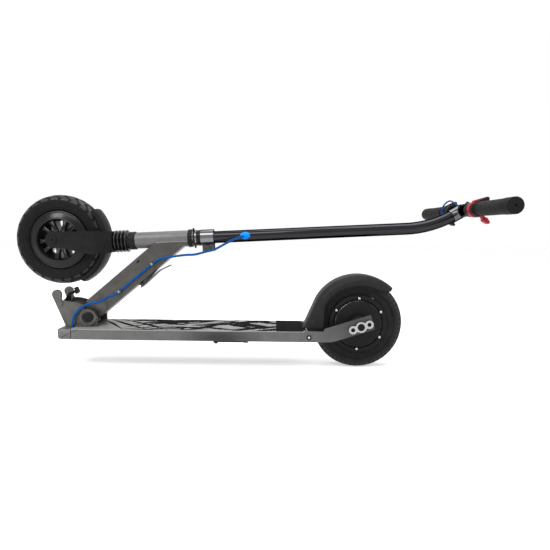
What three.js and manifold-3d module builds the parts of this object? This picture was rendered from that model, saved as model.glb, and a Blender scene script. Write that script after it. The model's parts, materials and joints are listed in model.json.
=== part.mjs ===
// Electric kick scooter, folded. Millimetres, +Z up, -X is the way it rides, -Y is the rider's left.
// Every place is measured from the rear axle along X and from the ground along Z.

import * as THREE from 'three';
import { mergeVertices } from 'three/addons/utils/BufferGeometryUtils.js';
import Module from 'manifold-3d';

const wasm = await Module();
wasm.setup();

// Clearances and cutting allowances
const fit = 0.3;
const runningFit = 0.6;
const overrun = 1;
const vertexMerge = 0.0001;
const roundSides = 16;
const hoseSides = 8;
const tubeSides = 20;
const wheelSides = 28;
const smallSides = 12;
const fullTurn = 360;

// Wheels
const rearTyreRadius = 101.5;
const rearTyreHalfWidth = 23;
const frontTyreRadius = 99.5;
const frontTyreHalfWidth = 24;

// Deck
const deckTop = 89.6;
const deckBottom = 66;
const deckHalfWidth = 57.5;
const deckNose = -657;
const deckRear = -124;
const railWall = 6;
const topPlateThickness = 2.5;
const bottomPlateThickness = 2;

// Fold hinge, in the deck's frame
const foldPivotX = -606;
const foldPivotZ = 111.1;
const neckAngle = 40.3;
const unfoldAngle = 73;

// Neck, along u from the fold pivot, with w square to it
const neckHalfWidth = 17.5;
const neckFront = 32.6;
const neckBack = -14.2;
const neckWall = 3;
const lugHeight = 1.6;
const headTubeU = 188.6;
const headTubeW = 64.7;
const steeringAngle = 3.2;

// Steering column, along s from the lower end of the head tube
const headTubeLength = 119;
const headTubeRadius = 18.25;
const headTubeBore = 16.5;
const steererRadius = 15.7;
const steererBore = 14;
const stemRadius = 13.6;
const stemWall = 2;
const stemFoot = headTubeLength + 9;
const stemBendStart = 611;
const stemBendRadius = 240;
const stemBendAngle = 27;
const stemTop = 737;

// Handlebar
const barRadius = 11;
const barHalfLength = 226;
const gripRadius = 15;
const gripInner = 88;

function radians(degrees) {
  return THREE.MathUtils.degToRad(degrees);
}

// Positions only, with shared vertices merged, flat triangles dropped and the faces pointing out.
function closed(geometry) {
  const plain = new THREE.BufferGeometry();
  plain.setAttribute('position', geometry.getAttribute('position'));
  plain.setIndex(geometry.getIndex());
  const merged = mergeVertices(plain, vertexMerge);
  const place = merged.getAttribute('position');
  const index = merged.getIndex().array;
  const corner = [new THREE.Vector3(), new THREE.Vector3(), new THREE.Vector3()];
  const kept = [];
  let volume = 0;
  for (let start = 0; start < index.length; start += corner.length) {
    const [a, b, c] = index.subarray(start, start + corner.length);
    if (a === b || b === c || c === a) {
      continue;
    }
    corner.forEach((point, k) => point.fromBufferAttribute(place, index[start + k]));
    volume += corner[0].dot(corner[1].clone().cross(corner[2]));
    kept.push([a, b, c]);
  }
  merged.setIndex((volume < 0 ? kept.map(([a, b, c]) => [c, b, a]) : kept).flat());
  return merged;
}

function solid(geometry) {
  const body = closed(geometry);
  return new wasm.Manifold(new wasm.Mesh({
    numProp: 3,
    vertProperties: new Float32Array(body.getAttribute('position').array),
    triVerts: new Uint32Array(body.getIndex().array),
  }));
}

function geometryOf(body) {
  const mesh = body.getMesh();
  const geometry = new THREE.BufferGeometry();
  geometry.setAttribute('position', new THREE.BufferAttribute(mesh.vertProperties, mesh.numProp));
  geometry.setIndex(new THREE.BufferAttribute(mesh.triVerts, 1));
  return geometry;
}

function join(...bodies) {
  return bodies.reduce((sum, body) => sum.add(body));
}

function cut(body, ...tools) {
  return tools.reduce((rest, tool) => rest.subtract(tool), body);
}

// A revolved body: profile is a closed ring of [along, radius] round the named axis.
function turned(axis, profile, sides = roundSides) {
  const points = [...profile, profile[0]].map(([along, radius]) => new THREE.Vector2(radius, along));
  const geometry = new THREE.LatheGeometry(points, sides);
  if (axis === 'x') {
    geometry.rotateZ(-Math.PI / 2);
  }
  if (axis === 'z') {
    geometry.rotateX(Math.PI / 2);
  }
  return solid(geometry);
}

function rod(axis, from, to, radius, sides = roundSides) {
  return turned(axis, [[from, 0], [from, radius], [to, radius], [to, 0]], sides);
}

function ring(axis, from, to, inner, outer, sides = roundSides) {
  return turned(axis, [[from, inner], [from, outer], [to, outer], [to, inner]], sides);
}

function moved(body, x, y, z) {
  return solid(geometryOf(body).translate(x, y, z));
}

function turnedAbout(axis, body, degrees) {
  const spin = new THREE.Matrix4().makeRotationAxis(axis, radians(degrees));
  return solid(geometryOf(body).applyMatrix4(spin));
}

function mirrored(body) {
  return solid(geometryOf(body).scale(1, -1, 1));
}

function block([x0, x1], [y0, y1], [z0, z1]) {
  const box = new THREE.BoxGeometry(x1 - x0, y1 - y0, z1 - z0);
  return solid(box.translate((x0 + x1) / 2, (y0 + y1) / 2, (z0 + z1) / 2));
}

function outline(points) {
  return points instanceof THREE.Shape ? points : new THREE.Shape(points.map(([a,
    b]) => new THREE.Vector2(a, b)));
}

function extruded(points, depth, curveSegments) {
  return new THREE.ExtrudeGeometry(outline(points), { depth, bevelEnabled: false, curveSegments });
}

// A side view in X and Z, as thick as the span of Y.
function sidePlate(points, [y0, y1], curveSegments = 10) {
  return solid(extruded(points, y1 - y0, curveSegments).rotateX(Math.PI / 2).translate(0, y1, 0));
}

// A plan view in X and Y, as thick as the span of Z.
function flatPlate(points, [z0, z1], curveSegments = 10) {
  return solid(extruded(points, z1 - z0, curveSegments).translate(0, 0, z0));
}

// A cross-section in Y and Z, as long as the span of X.
function bar(points, [x0, x1], curveSegments = 10) {
  const geometry = extruded(points, x1 - x0, curveSegments);
  return solid(geometry.rotateX(Math.PI / 2).rotateZ(Math.PI / 2).translate(x0, 0, 0));
}

function roundedRectangle([a0, a1], [b0, b1], radius) {
  const shape = new THREE.Shape();
  shape.moveTo(a0 + radius, b0);
  shape.absarc(a1 - radius, b0 + radius, radius, -Math.PI / 2, 0, false);
  shape.absarc(a1 - radius, b1 - radius, radius, 0, Math.PI / 2, false);
  shape.absarc(a0 + radius, b1 - radius, radius, Math.PI / 2, Math.PI, false);
  shape.absarc(a0 + radius, b0 + radius, radius, Math.PI, 3 * Math.PI / 2, false);
  return shape;
}

// The round-cornered outline that a string pulled round two or more discs would have.
function belt(places) {
  const area = THREE.ShapeUtils.area(places.map(([a, b]) => new THREE.Vector2(a, b)));
  const discs = area < 0 ? [...places].reverse() : places;
  const shape = new THREE.Shape();
  discs.forEach((disc, k) => {
    const last = discs[(k + discs.length - 1) % discs.length];
    const next = discs[(k + 1) % discs.length];
    const from = tangentAngle(last, disc);
    let to = tangentAngle(disc, next);
    while (to < from) {
      to += 2 * Math.PI;
    }
    shape.absarc(disc[0], disc[1], disc[2], from, to, false);
  });
  shape.closePath();
  return shape;
}

function tangentAngle([ax, az, ar], [bx, bz, br]) {
  const along = Math.atan2(bz - az, bx - ax);
  return along - Math.acos((ar - br) / Math.hypot(bx - ax, bz - az));
}

// A closed shell between an outer and an inner grid of points, rows of equal length.
function shell(outer, inner) {
  const rows = outer.length;
  const columns = outer[0].length;
  const points = [...outer.flat(), ...inner.flat()];
  const at = (side, i, j) => side * rows * columns + i * columns + j;
  const faces = [];
  const quad = (a, b, c, d) => faces.push(a, b, c, a, c, d);
  for (let i = 0; i + 1 < rows; i += 1) {
    for (let j = 0; j + 1 < columns; j += 1) {
      quad(at(0, i, j), at(0, i, j + 1), at(0, i + 1, j + 1), at(0, i + 1, j));
      quad(at(1, i, j), at(1, i + 1, j), at(1, i + 1, j + 1), at(1, i, j + 1));
    }
    quad(at(0, i, 0), at(0, i + 1, 0), at(1, i + 1, 0), at(1, i, 0));
    const end = columns - 1;
    quad(at(0, i + 1, end), at(0, i, end), at(1, i, end), at(1, i + 1, end));
  }
  for (let j = 0; j + 1 < columns; j += 1) {
    quad(at(0, 0, j + 1), at(0, 0, j), at(1, 0, j), at(1, 0, j + 1));
    const end = rows - 1;
    quad(at(0, end, j), at(0, end, j + 1), at(1, end, j + 1), at(1, end, j));
  }
  const geometry = new THREE.BufferGeometry();
  geometry.setAttribute('position', new THREE.Float32BufferAttribute(points.flatMap((p) => p.toArray()),
    3));
  geometry.setIndex(faces);
  return solid(geometry);
}

// A round tube along a smooth curve through the points.
function hose(points, radius, steps, sides = 6) {
  const circle = Array.from({ length: sides }, (unused, k) => {
    const angle = 2 * Math.PI * k / sides;
    return [radius * Math.cos(angle), radius * Math.sin(angle)];
  });
  const path = points instanceof THREE.Curve
    ? points
    : new THREE.CatmullRomCurve3(points.map((p) => new THREE.Vector3(...p)));
  return solid(new THREE.ExtrudeGeometry(outline(circle),
    { steps, extrudePath: path, bevelEnabled: false }));
}

const finish = {
  deckGrey: new THREE.MeshStandardMaterial({ color: 0x707070, roughness: 0.5, metalness: 0.6 }),
  deckPale: new THREE.MeshStandardMaterial({ color: 0x9a9a9a, roughness: 0.5, metalness: 0.5 }),
  neckGrey: new THREE.MeshStandardMaterial({ color: 0x5e5e5e, roughness: 0.5, metalness: 0.6 }),
  chrome: new THREE.MeshStandardMaterial({ color: 0xd0d0d0, roughness: 0.15, metalness: 1 }),
  blackChrome: new THREE.MeshStandardMaterial({ color: 0x4a4a4c, roughness: 0.2, metalness: 1 }),
  steel: new THREE.MeshStandardMaterial({ color: 0x9a9a98, roughness: 0.35, metalness: 1 }),
  blackPaint: new THREE.MeshStandardMaterial({ color: 0x2a2a2a, roughness: 0.45, metalness: 0.2 }),
  blackPlastic: new THREE.MeshStandardMaterial({ color: 0x262626, roughness: 0.6, metalness: 0 }),
  rubber: new THREE.MeshStandardMaterial({ color: 0x202020, roughness: 0.85, metalness: 0 }),
  red: new THREE.MeshStandardMaterial({ color: 0xa8243a, roughness: 0.45, metalness: 0 }),
  cableBlue: new THREE.MeshStandardMaterial({ color: 0x1a60b0, roughness: 0.5, metalness: 0 }),
  brightBlue: new THREE.MeshStandardMaterial({ color: 0x1090ff, roughness: 0.4, metalness: 0 }),
  copper: new THREE.MeshStandardMaterial({ color: 0xb87333, roughness: 0.4, metalness: 0.9 }),
  pack: new THREE.MeshStandardMaterial({ color: 0x2b4a7a, roughness: 0.5, metalness: 0 }),
};

function group(parent, x = 0, z = 0, angle = 0) {
  const frame = new THREE.Group();
  frame.position.set(x, 0, z);
  frame.rotation.y = -radians(angle);
  parent.add(frame);
  return frame;
}

function piece(parent, name, body, material) {
  const mesh = new THREE.Mesh(geometryOf(body), material);
  mesh.name = name;
  parent.add(mesh);
  return mesh;
}

const scooter = new THREE.Group();
const deck = group(scooter);
const neck = group(deck, foldPivotX, foldPivotZ, neckAngle);
const steering = group(neck, headTubeU, headTubeW, steeringAngle - neckAngle);
const unfoldedNeck = group(deck, foldPivotX, foldPivotZ, neckAngle + unfoldAngle);

// The same body, seen from another group's frame.
function seenFrom(body, from, to) {
  scooter.updateMatrixWorld(true);
  const change = to.matrixWorld.clone().invert().multiply(from.matrixWorld);
  return solid(geometryOf(body).applyMatrix4(change));
}

function pointSeenFrom([x, y, z], from, to) {
  scooter.updateMatrixWorld(true);
  return to.worldToLocal(from.localToWorld(new THREE.Vector3(x, y, z))).toArray();
}

// Deck
const noseLength = 22;
const noseBulge = 7;
const noseFlatShare = 0.7;
const armAngle = 18;
const armHeight = 33;
const armReach = 28.4;
const armRise = 2.2;
const armStepX = -82;
const armStepRun = 4;
const armBendReach = 13;
const axleRadius = 6;
const axleZ = rearTyreRadius;
const crossbarLength = 56;
const rearCrossbar = [-148, -130];
const fenderPinX = -113;
const fenderPinZ = 77;
const fenderPinRadius = 4;
const fenderPinHeadRadius = 5.6;
const fenderPinHeadHeight = 2.2;
const railTop = deckTop - topPlateThickness - fit;
const railInner = deckHalfWidth - railWall;
const railFront = deckNose + noseLength;
const harnessRadius = 2.5;
const harnessHole = [-638.6, -38.6];

function armPoint(along, across) {
  const angle = radians(armAngle);
  return [
    along * Math.cos(angle) - across * Math.sin(angle),
    axleZ + along * Math.sin(angle) + across * Math.cos(angle),
  ];
}

function railOutline() {
  const angle = radians(armAngle);
  const lower = armRise - armHeight / 2;
  const upper = armRise + armHeight / 2;
  const bendAlong = (deckBottom - axleZ - lower * Math.cos(angle)) / Math.sin(angle);
  const [bendX, bendZ] = armPoint(bendAlong, lower);
  const stepAlong = (armStepX + armStepRun + upper * Math.sin(angle)) / Math.cos(angle);
  const shape = new THREE.Shape();
  shape.moveTo(railFront + fit, deckBottom);
  shape.lineTo(bendX - armBendReach, deckBottom);
  shape.quadraticCurveTo(bendX, bendZ, ...armPoint(bendAlong + armBendReach, lower));
  shape.lineTo(...armPoint(armReach, lower));
  shape.lineTo(...armPoint(armReach, upper));
  shape.lineTo(...armPoint(stepAlong, upper));
  shape.lineTo(armStepX, deckTop);
  shape.lineTo(deckRear + fit, deckTop);
  shape.lineTo(deckRear + fit, railTop);
  shape.lineTo(railFront + fit, railTop);
  return shape;
}

function deckFrame() {
  const rail = sidePlate(railOutline(), [railInner, deckHalfWidth], 4);
  const inside = [-railInner - overrun, railInner + overrun];
  const head = block([railFront + fit, railFront + crossbarLength], inside, [deckBottom, railTop]);
  const tail = block(rearCrossbar, inside, [deckBottom + bottomPlateThickness + fit, railTop]);
  const axleHole = moved(rod('y', -deckHalfWidth - overrun, deckHalfWidth + overrun, axleRadius + fit),
    0, 0, axleZ);
  const pinHole = rod('y', -deckHalfWidth - overrun, deckHalfWidth + overrun, fenderPinRadius + fit,
    smallSides);
  return cut(join(rail, mirrored(rail), head, tail), axleHole, moved(pinHole, fenderPinX, 0, fenderPinZ));
}

function topPlate() {
  const span = [railFront + fit, deckRear];
  return flatPlate(roundedRectangle(span, [-deckHalfWidth, deckHalfWidth], fit),
    [railTop + fit, deckTop], 1);
}

function bottomCover() {
  const span = [railFront + crossbarLength + fit, rearCrossbar[1]];
  const width = railInner - fit;
  return block(span, [-width, width], [deckBottom, deckBottom + bottomPlateThickness]);
}

function noseCap() {
  const front = deckNose;
  const flat = deckHalfWidth * noseFlatShare;
  const plan = [
    [railFront, -deckHalfWidth], [railFront, deckHalfWidth], [front, deckHalfWidth],
    [front - noseBulge, flat], [front - noseBulge, -flat], [front, -deckHalfWidth],
  ];
  const hole = rod('z', deckBottom - overrun, deckTop + overrun, harnessRadius + fit, 12);
  return cut(flatPlate(plan, [deckBottom, deckTop]), moved(hole, ...harnessHole, 0));
}

const batterySpan = [-560, -236];
const batteryHalfWidth = 46;
const packCorner = 8;
const controllerSpan = [-228, -156];
const controllerHalfWidth = 38;
const finCount = 7;
const finDepth = 3;
const finShare = 0.5;
const trayFloor = deckBottom + bottomPlateThickness + fit;

function batteryPack() {
  const shape = roundedRectangle([-batteryHalfWidth, batteryHalfWidth], [trayFloor, railTop], packCorner);
  return bar(shape, batterySpan, 3);
}

function motorController() {
  const [x0, x1] = controllerSpan;
  const pitch = (x1 - x0) / finCount;
  const body = block(controllerSpan, [-controllerHalfWidth, controllerHalfWidth], [trayFloor, railTop]);
  const gaps = Array.from({ length: finCount - 1 }, (unused, k) => {
    const middle = x0 + pitch * (k + 1);
    const half = pitch * finShare / 2;
    const width = controllerHalfWidth + overrun;
    return block([middle - half, middle + half], [-width, width], [railTop - finDepth, railTop + overrun]);
  });
  return cut(body, ...gaps);
}

piece(deck, 'deck_frame', deckFrame(), finish.deckGrey);
piece(deck, 'deck_top_plate', topPlate(), finish.deckPale);
piece(deck, 'bottom_cover', bottomCover(), finish.blackPlastic);
piece(deck, 'deck_nose_cap', noseCap(), finish.deckGrey);
piece(deck, 'battery_pack', batteryPack(), finish.pack);
piece(deck, 'motor_controller', motorController(), finish.steel);

// Fold bracket: two hook-headed cheeks either side of the neck, in the unfolded neck's frame
const cheekInner = 26.3;
const cheekOuter = 31.8;
const earRadius = 19;
const earRimRadius = 14;
const earRimHeight = 3;
const prongFront = 54;
const prongWidth = 15;
const hookU = 73.6;
const hookRadius = 10.5;
const crotchU = 56;
const baseThickness = 5;
const baseFront = -51;
const wingHalfWidth = 35;
const wingSpan = [-38, 8];
const frontWallTopU = 34;
const frontWallThickness = 6;
const shoulderPlace = [-10.8, 27];
const crotchPlace = [-42, 35];
const foldBoltRadius = 7;
const foldBoltHeadRadius = 11;
const foldBoltCollar = 12;
const latchPivot = [51.5, 44];
const latchPinRadius = 4;
const foldPivot = [foldPivotX, foldPivotZ];

function fromPivot(x, z) {
  return [foldPivotX + x, foldPivotZ + z];
}

function bracketPoint(u, w) {
  const [x, , z] = pointSeenFrom([u, 0, w], unfoldedNeck, deck);
  return [x, z];
}

function cheek() {
  const base = deckTop + fit;
  const prong = sidePlate([
    fromPivot(...crotchPlace), fromPivot(baseFront, base - foldPivotZ), fromPivot(0, base - foldPivotZ),
    fromPivot(...shoulderPlace),
  ], [cheekInner, cheekOuter]);
  const front = prongFront - hookRadius;
  const arm = sidePlate([
    bracketPoint(hookU, prongFront), fromPivot(baseFront, base - foldPivotZ), fromPivot(...crotchPlace),
    bracketPoint(crotchU, prongFront - prongWidth), bracketPoint(hookU, prongFront - prongWidth),
  ], [cheekInner, cheekOuter]);
  const head = sidePlate(belt([
    [...bracketPoint(hookU, front), hookRadius],
    [...bracketPoint(hookU - hookRadius, prongFront - prongWidth / 2), prongWidth / 2],
  ]), [cheekInner, cheekOuter], 5);
  const ear = sidePlate(belt([[...foldPivot, earRadius], [...fromPivot(0, base - foldPivotZ + fit), fit]]),
    [cheekInner, cheekOuter], 6);
  const foot = sidePlate([
    fromPivot(-earRadius, base - foldPivotZ), fromPivot(earRadius, base - foldPivotZ),
    fromPivot(earRadius, 0), fromPivot(-earRadius, 0),
  ], [cheekInner, cheekOuter]);
  const rim = moved(ring('y', cheekOuter - overrun, cheekOuter + earRimHeight, earRimRadius, earRadius),
    foldPivotX, 0, foldPivotZ);
  return join(prong, arm, head, ear, foot, rim);
}

function hingeBracket() {
  const base = deckTop + fit;
  const half = cheek();
  const floor = block([foldPivotX + baseFront, foldPivotX + earRadius], [-cheekOuter, cheekOuter],
    [base, base + baseThickness]);
  const wings = flatPlate(roundedRectangle(wingSpan.map((x) => foldPivotX + x),
    [-wingHalfWidth, wingHalfWidth],
    baseThickness), [base, base + baseThickness], 2);
  const wall = sidePlate([
    bracketPoint(frontWallTopU, prongFront), fromPivot(baseFront, base - foldPivotZ),
    fromPivot(baseFront + frontWallThickness, base - foldPivotZ),
    bracketPoint(frontWallTopU, prongFront - frontWallThickness),
  ], [-cheekInner - overrun, cheekInner + overrun]);
  const bore = moved(rod('y', -cheekOuter - overrun, cheekOuter + overrun, foldBoltRadius + fit),
    foldPivotX, 0, foldPivotZ);
  const [latchX, latchZ] = bracketPoint(...latchPivot);
  const latchBore = moved(rod('y', -cheekOuter - overrun, cheekOuter + overrun, latchPinRadius + fit,
    smallSides),
    latchX, 0, latchZ);
  return cut(join(half, mirrored(half), floor, wings, wall), bore, latchBore);
}

function headedPin(half, radius, headRadius, headHeight, sides) {
  const outer = half + headHeight;
  return turned('y', [
    [-outer, 0], [-outer, headRadius], [-half, headRadius], [-half, radius],
    [half, radius], [half, headRadius], [outer, headRadius], [outer, 0],
  ], sides);
}

const foldBoltHeadHeight = 2.4;
const latchPinHeadRadius = 6;
const latchPinHeadHeight = 1.6;

// The fold bolt, with a shoulder either side of the neck that keeps it clear of the cheeks.
function foldBolt() {
  const outer = cheekOuter + fit;
  const head = outer + foldBoltHeadHeight;
  const shoulder = [neckHalfWidth + lugHeight + fit, cheekInner - fit];
  const half = [
    [head, 0], [head, foldBoltHeadRadius], [outer, foldBoltHeadRadius], [outer, foldBoltRadius],
    [shoulder[1], foldBoltRadius], [shoulder[1], foldBoltCollar], [shoulder[0], foldBoltCollar],
    [shoulder[0], foldBoltRadius],
  ];
  return moved(turned('y', symmetric(half)), foldPivotX, 0, foldPivotZ);
}

function latchPin() {
  const [x, z] = bracketPoint(...latchPivot);
  return moved(headedPin(cheekOuter + fit, latchPinRadius, latchPinHeadRadius, latchPinHeadHeight,
    smallSides), x, 0, z);
}

const bumperSpan = [9.5, 15];
const bumperSides = [-18, 2];

function neckBackAt(x) {
  const angle = radians(neckAngle);
  return (neckBack + x * Math.sin(angle)) / Math.cos(angle);
}

function foldBumper() {
  const [x0, x1] = bumperSpan;
  const base = deckTop + 2 * fit + baseThickness - foldPivotZ;
  const seat = fit / Math.cos(radians(neckAngle));
  const profile = [
    fromPivot(x0, base), fromPivot(x1, base), fromPivot(x1, neckBackAt(x1) - seat),
    fromPivot(x0, neckBackAt(x0) - seat),
  ];
  return sidePlate(profile, bumperSides);
}

piece(deck, 'fold_bracket', hingeBracket(), finish.neckGrey);
piece(deck, 'fold_bolt', foldBolt(), finish.blackPaint);
piece(deck, 'latch_pin', latchPin(), finish.steel);
piece(deck, 'fold_bumper', foldBumper(), finish.rubber);

// Latch claw between the cheeks, in the unfolded neck's frame. It stands open while the neck is folded.
const crossPin = [50.9, 20.5];
const crossPinRadius = 4;
const clawHalfWidth = 6.5;
const clawEyeRadius = 7;
const clawArmDepth = 5.7;
const clawNoseLength = 7;
const clawNoseReach = 3.5;
const clawHeel = 5.5;
const clawHeelLength = 5;
const clawOpening = 7.4;
const clawHorn = [-2.9, -7.6];
const clawHornRadius = 2.6;
const clawNose = crossPin[1] - crossPinRadius - runningFit;
const clawUnder = crossPin[0] + crossPinRadius + clawOpening;

function latchClaw() {
  const [u, w] = latchPivot;
  const span = [-clawHalfWidth, clawHalfWidth];
  const tip = clawUnder - clawNoseReach;
  const over = clawUnder + clawArmDepth;
  const arm = sidePlate([
    [u - clawEyeRadius / 2, w - clawEyeRadius / 2], [clawUnder, w - 2 * clawEyeRadius],
      [clawUnder, clawNose],
    [tip, clawNose], [tip, clawNose - clawNoseLength / 2], [clawUnder, clawNose - clawNoseLength],
    [over + clawHeel, clawNose - clawNoseLength], [over + clawHeel,
      clawNose - clawNoseLength + clawHeelLength],
    [over, clawNose - clawNoseLength + clawHeelLength], [over, w - 2 * clawEyeRadius],
    [u + clawEyeRadius / 2, w + clawEyeRadius / 2],
  ], span);
  const eye = moved(rod('y', ...span, clawEyeRadius), u, 0, w);
  const horn = sidePlate(belt([
    [u, w, clawHornRadius], [u + clawHorn[0], w + clawHorn[1], clawHornRadius],
  ]), span, 4);
  const bore = moved(rod('y', span[0] - overrun, span[1] + overrun, latchPinRadius + fit, 16), u, 0, w);
  return cut(join(arm, eye, horn), bore);
}

piece(unfoldedNeck, 'latch_claw', latchClaw(), finish.blackPaint);

// Neck: a box section from the fold bolt to the head tube
const cupRadius = 20.2;
const cupLength = 14.4;
const neckCorner = 2;
const neckFootU = 17;
const neckFootCorner = 4;
const neckJoinT = -7;
const slotU = [44, 80];
const slotHalfWidth = 8;
const lugPlace = [33.7, 2];
const lugRadius = 13.3;
const clipUs = [186, 88];
const clipHalfLength = 4;
const clipHalfHeight = 4.2;
const clipDepth = 6.2;
const harnessNeckW = 0;
const harnessNeckY = -20.6;
const leverPivotU = 134;
const leverPivotDrop = 4.4;
const leverStudRadius = 2;
const leverStudReach = 4;
const leverEarRadius = 2.6;
const leverEarHalfWidth = 8;

function joinPoint(w, t) {
  const angle = radians(steeringAngle - neckAngle);
  const u0 = headTubeU - t * Math.sin(angle);
  const w0 = headTubeW + t * Math.cos(angle);
  return [u0 + (w - w0) / Math.tan(angle), w];
}

function neckOutline(inset) {
  const corner = neckCorner + fit;
  const back = neckBack + inset;
  const front = neckFront - inset;
  const t = neckJoinT - inset;
  return belt([
    [0, 0, -back],
    [...joinPoint(back + corner, t), corner],
    [...joinPoint(front - corner, t), corner],
    [neckFootU, front - neckFootCorner, neckFootCorner],
  ]);
}

function neckFrame() {
  const box = sidePlate(neckOutline(0), [-neckHalfWidth, neckHalfWidth], 5);
  const inner = neckHalfWidth - neckWall;
  const cavity = sidePlate(neckOutline(neckWall), [-inner, inner], 4);
  const tube = seenFrom(rod('x', 0, headTubeLength, headTubeRadius, tubeSides), steering, neck);
  const bore = seenFrom(rod('x', -overrun, headTubeLength + overrun, headTubeBore, tubeSides), steering,
    neck);
  const bossBore = foldBoltRadius + fit;
  const boss = rod('y', -inner - overrun, inner + overrun, bossBore + neckWall, smallSides);
  const pivotBore = rod('y', -neckHalfWidth - overrun, neckHalfWidth + overrun, bossBore);
  const slot = block(slotU, [-slotHalfWidth, slotHalfWidth],
    [neckFront - 2 * neckWall, neckFront + overrun]);
  const pinReach = neckHalfWidth + overrun;
  const pinBore = moved(rod('y', -pinReach, pinReach, crossPinRadius + fit, smallSides), crossPin[0], 0,
    crossPin[1]);
  const lugOuter = neckHalfWidth + lugHeight;
  const lug = moved(rod('y', -lugOuter, -neckHalfWidth + overrun, lugRadius), lugPlace[0], 0, lugPlace[1]);
  const clips = clipUs.map((u) => block([u - clipHalfLength, u + clipHalfLength],
    [-neckHalfWidth - clipDepth, -neckHalfWidth + fit],
    [harnessNeckW - clipHalfHeight, harnessNeckW + clipHalfHeight]));
  const groove = moved(rod('x', clipUs[1] - 2 * clipHalfLength, clipUs[0] + 2 * clipHalfLength,
    harnessRadius + fit, hoseSides), 0, harnessNeckY, harnessNeckW);
  const studZ = neckBack - leverPivotDrop;
  const ear = sidePlate(belt([
    [leverPivotU, studZ, leverEarRadius],
    [leverPivotU - leverStudReach, neckBack + overrun, leverStudReach],
    [leverPivotU + leverStudReach, neckBack + overrun, leverStudReach],
  ]), [-leverEarHalfWidth / 2, leverEarHalfWidth / 2], 4);
  const studHalf = leverEarHalfWidth / 2 + leverStudReach;
  const stud = moved(rod('y', -studHalf, studHalf, leverStudRadius, hoseSides), leverPivotU, 0, studZ);
  const past = seenFrom(block([headTubeLength, headTubeLength + 3 * cupRadius], [-pinReach, pinReach],
    [-cupRadius, cupRadius]), steering, neck);
  const hollow = cut(join(cut(box, cavity), boss), pivotBore, slot, pinBore);
  return cut(join(hollow, tube, lug, ...clips, ear, stud), bore, groove, past);
}

function crossPinBody() {
  const half = neckHalfWidth;
  return moved(rod('y', -half, half, crossPinRadius, smallSides), crossPin[0], 0, crossPin[1]);
}

piece(neck, 'neck_frame', neckFrame(), finish.neckGrey);
piece(neck, 'latch_cross_pin', crossPinBody(), finish.steel);

// Release lever under the neck
const leverTipLength = 25;
const leverTipDrop = 12.5;
const leverThickness = 2.4;
const leverLiftDrop = 5;
const leverHalfWidth = 12;
const leverLiftU = 186;
const leverTipU = leverLiftU + leverTipLength;
const leverTail = 6;
const leverEyeRadius = 5.4;

function releaseLever() {
  const studZ = neckBack - leverPivotDrop;
  const top = neckBack - leverLiftDrop;
  const blade = new THREE.Shape();
  blade.moveTo(leverPivotU - leverTail, studZ - leverEyeRadius);
  blade.lineTo(leverPivotU + leverTail, studZ - leverEyeRadius);
  blade.quadraticCurveTo(leverLiftU - leverTail, top - leverThickness, leverLiftU, top - leverThickness);
  blade.lineTo(leverTipU, neckBack - leverTipDrop - leverThickness / 2);
  blade.lineTo(leverTipU, neckBack - leverTipDrop + leverThickness / 2);
  blade.lineTo(leverLiftU + fit, top);
  blade.quadraticCurveTo(leverLiftU - leverTail, top, leverPivotU + leverTail,
    studZ - leverEyeRadius + leverThickness);
  blade.lineTo(leverPivotU - leverTail, studZ - leverEyeRadius + leverThickness);
  const paddle = sidePlate(blade, [-leverHalfWidth, leverHalfWidth], 6);
  const cheekY = leverEarHalfWidth / 2 + fit;
  const eye = sidePlate(belt([
    [leverPivotU, studZ, leverPivotDrop - runningFit],
      [leverPivotU - leverTail / 2, studZ - leverEyeRadius + overrun, overrun],
    [leverPivotU + leverTail / 2, studZ - leverEyeRadius + overrun, overrun],
  ]), [cheekY, cheekY + leverStudReach], 5);
  const bore = moved(rod('y', -leverHalfWidth, leverHalfWidth, leverStudRadius + fit, 12), leverPivotU,
    0, studZ);
  return cut(join(paddle, eye, mirrored(eye)), bore);
}

piece(neck, 'release_lever', releaseLever(), finish.neckGrey);

// Headset
const bearingOuter = 18.8;
const bearingLength = 7;
const upperCupLength = 9;
const lockRingSpan = [headTubeLength + 11, headTubeLength + 19.4];
const lockRingRadius = 18;
const lugReach = 23.5;
const lugCount = 4;
const lugHalfWidth = 3;
const lugPhase = 20;
const dustRingSpan = [headTubeLength + 19.7, headTubeLength + 27.9];
const dustRingStep = 2.3;
const dustRingStepRadius = 17.2;

// A cup open at `mouth`, with a seat for its bearing and a floor against the head tube.
function headsetCup(mouth, floor) {
  const seat = mouth + Math.sign(floor - mouth) * (bearingLength + fit);
  return turned('x', [
    [mouth, bearingOuter + fit], [mouth, cupRadius], [floor, cupRadius], [floor, headTubeBore],
    [seat, headTubeBore], [seat, bearingOuter + fit],
  ], tubeSides);
}

function bearing(from) {
  return ring('x', from, from + bearingLength, steererRadius + fit, bearingOuter, roundSides);
}

function lockRing() {
  const [from, to] = lockRingSpan;
  const lugs = Array.from({ length: lugCount }, (unused, k) => turnedAbout(new THREE.Vector3(1, 0, 0),
    block([from, (from + to) / 2], [-lugHalfWidth, lugHalfWidth], [steererRadius + overrun, lugReach]),
    fullTurn * k / lugCount + lugPhase));
  return join(ring('x', from, to, steererRadius + fit, lockRingRadius, tubeSides), ...lugs);
}

piece(neck, 'lower_headset_cup', seenFrom(headsetCup(-cupLength - fit, -fit), steering, neck),
  finish.blackPlastic);
piece(neck, 'upper_headset_cup', seenFrom(headsetCup(headTubeLength + fit + upperCupLength,
  headTubeLength + fit),
  steering, neck), finish.blackPlastic);
piece(neck, 'lower_bearing', seenFrom(bearing(-cupLength), steering, neck), finish.steel);
piece(neck, 'upper_bearing', seenFrom(bearing(headTubeLength + fit + upperCupLength - bearingLength),
  steering, neck), finish.steel);

// Steering column
const steererFoot = -22;

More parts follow.
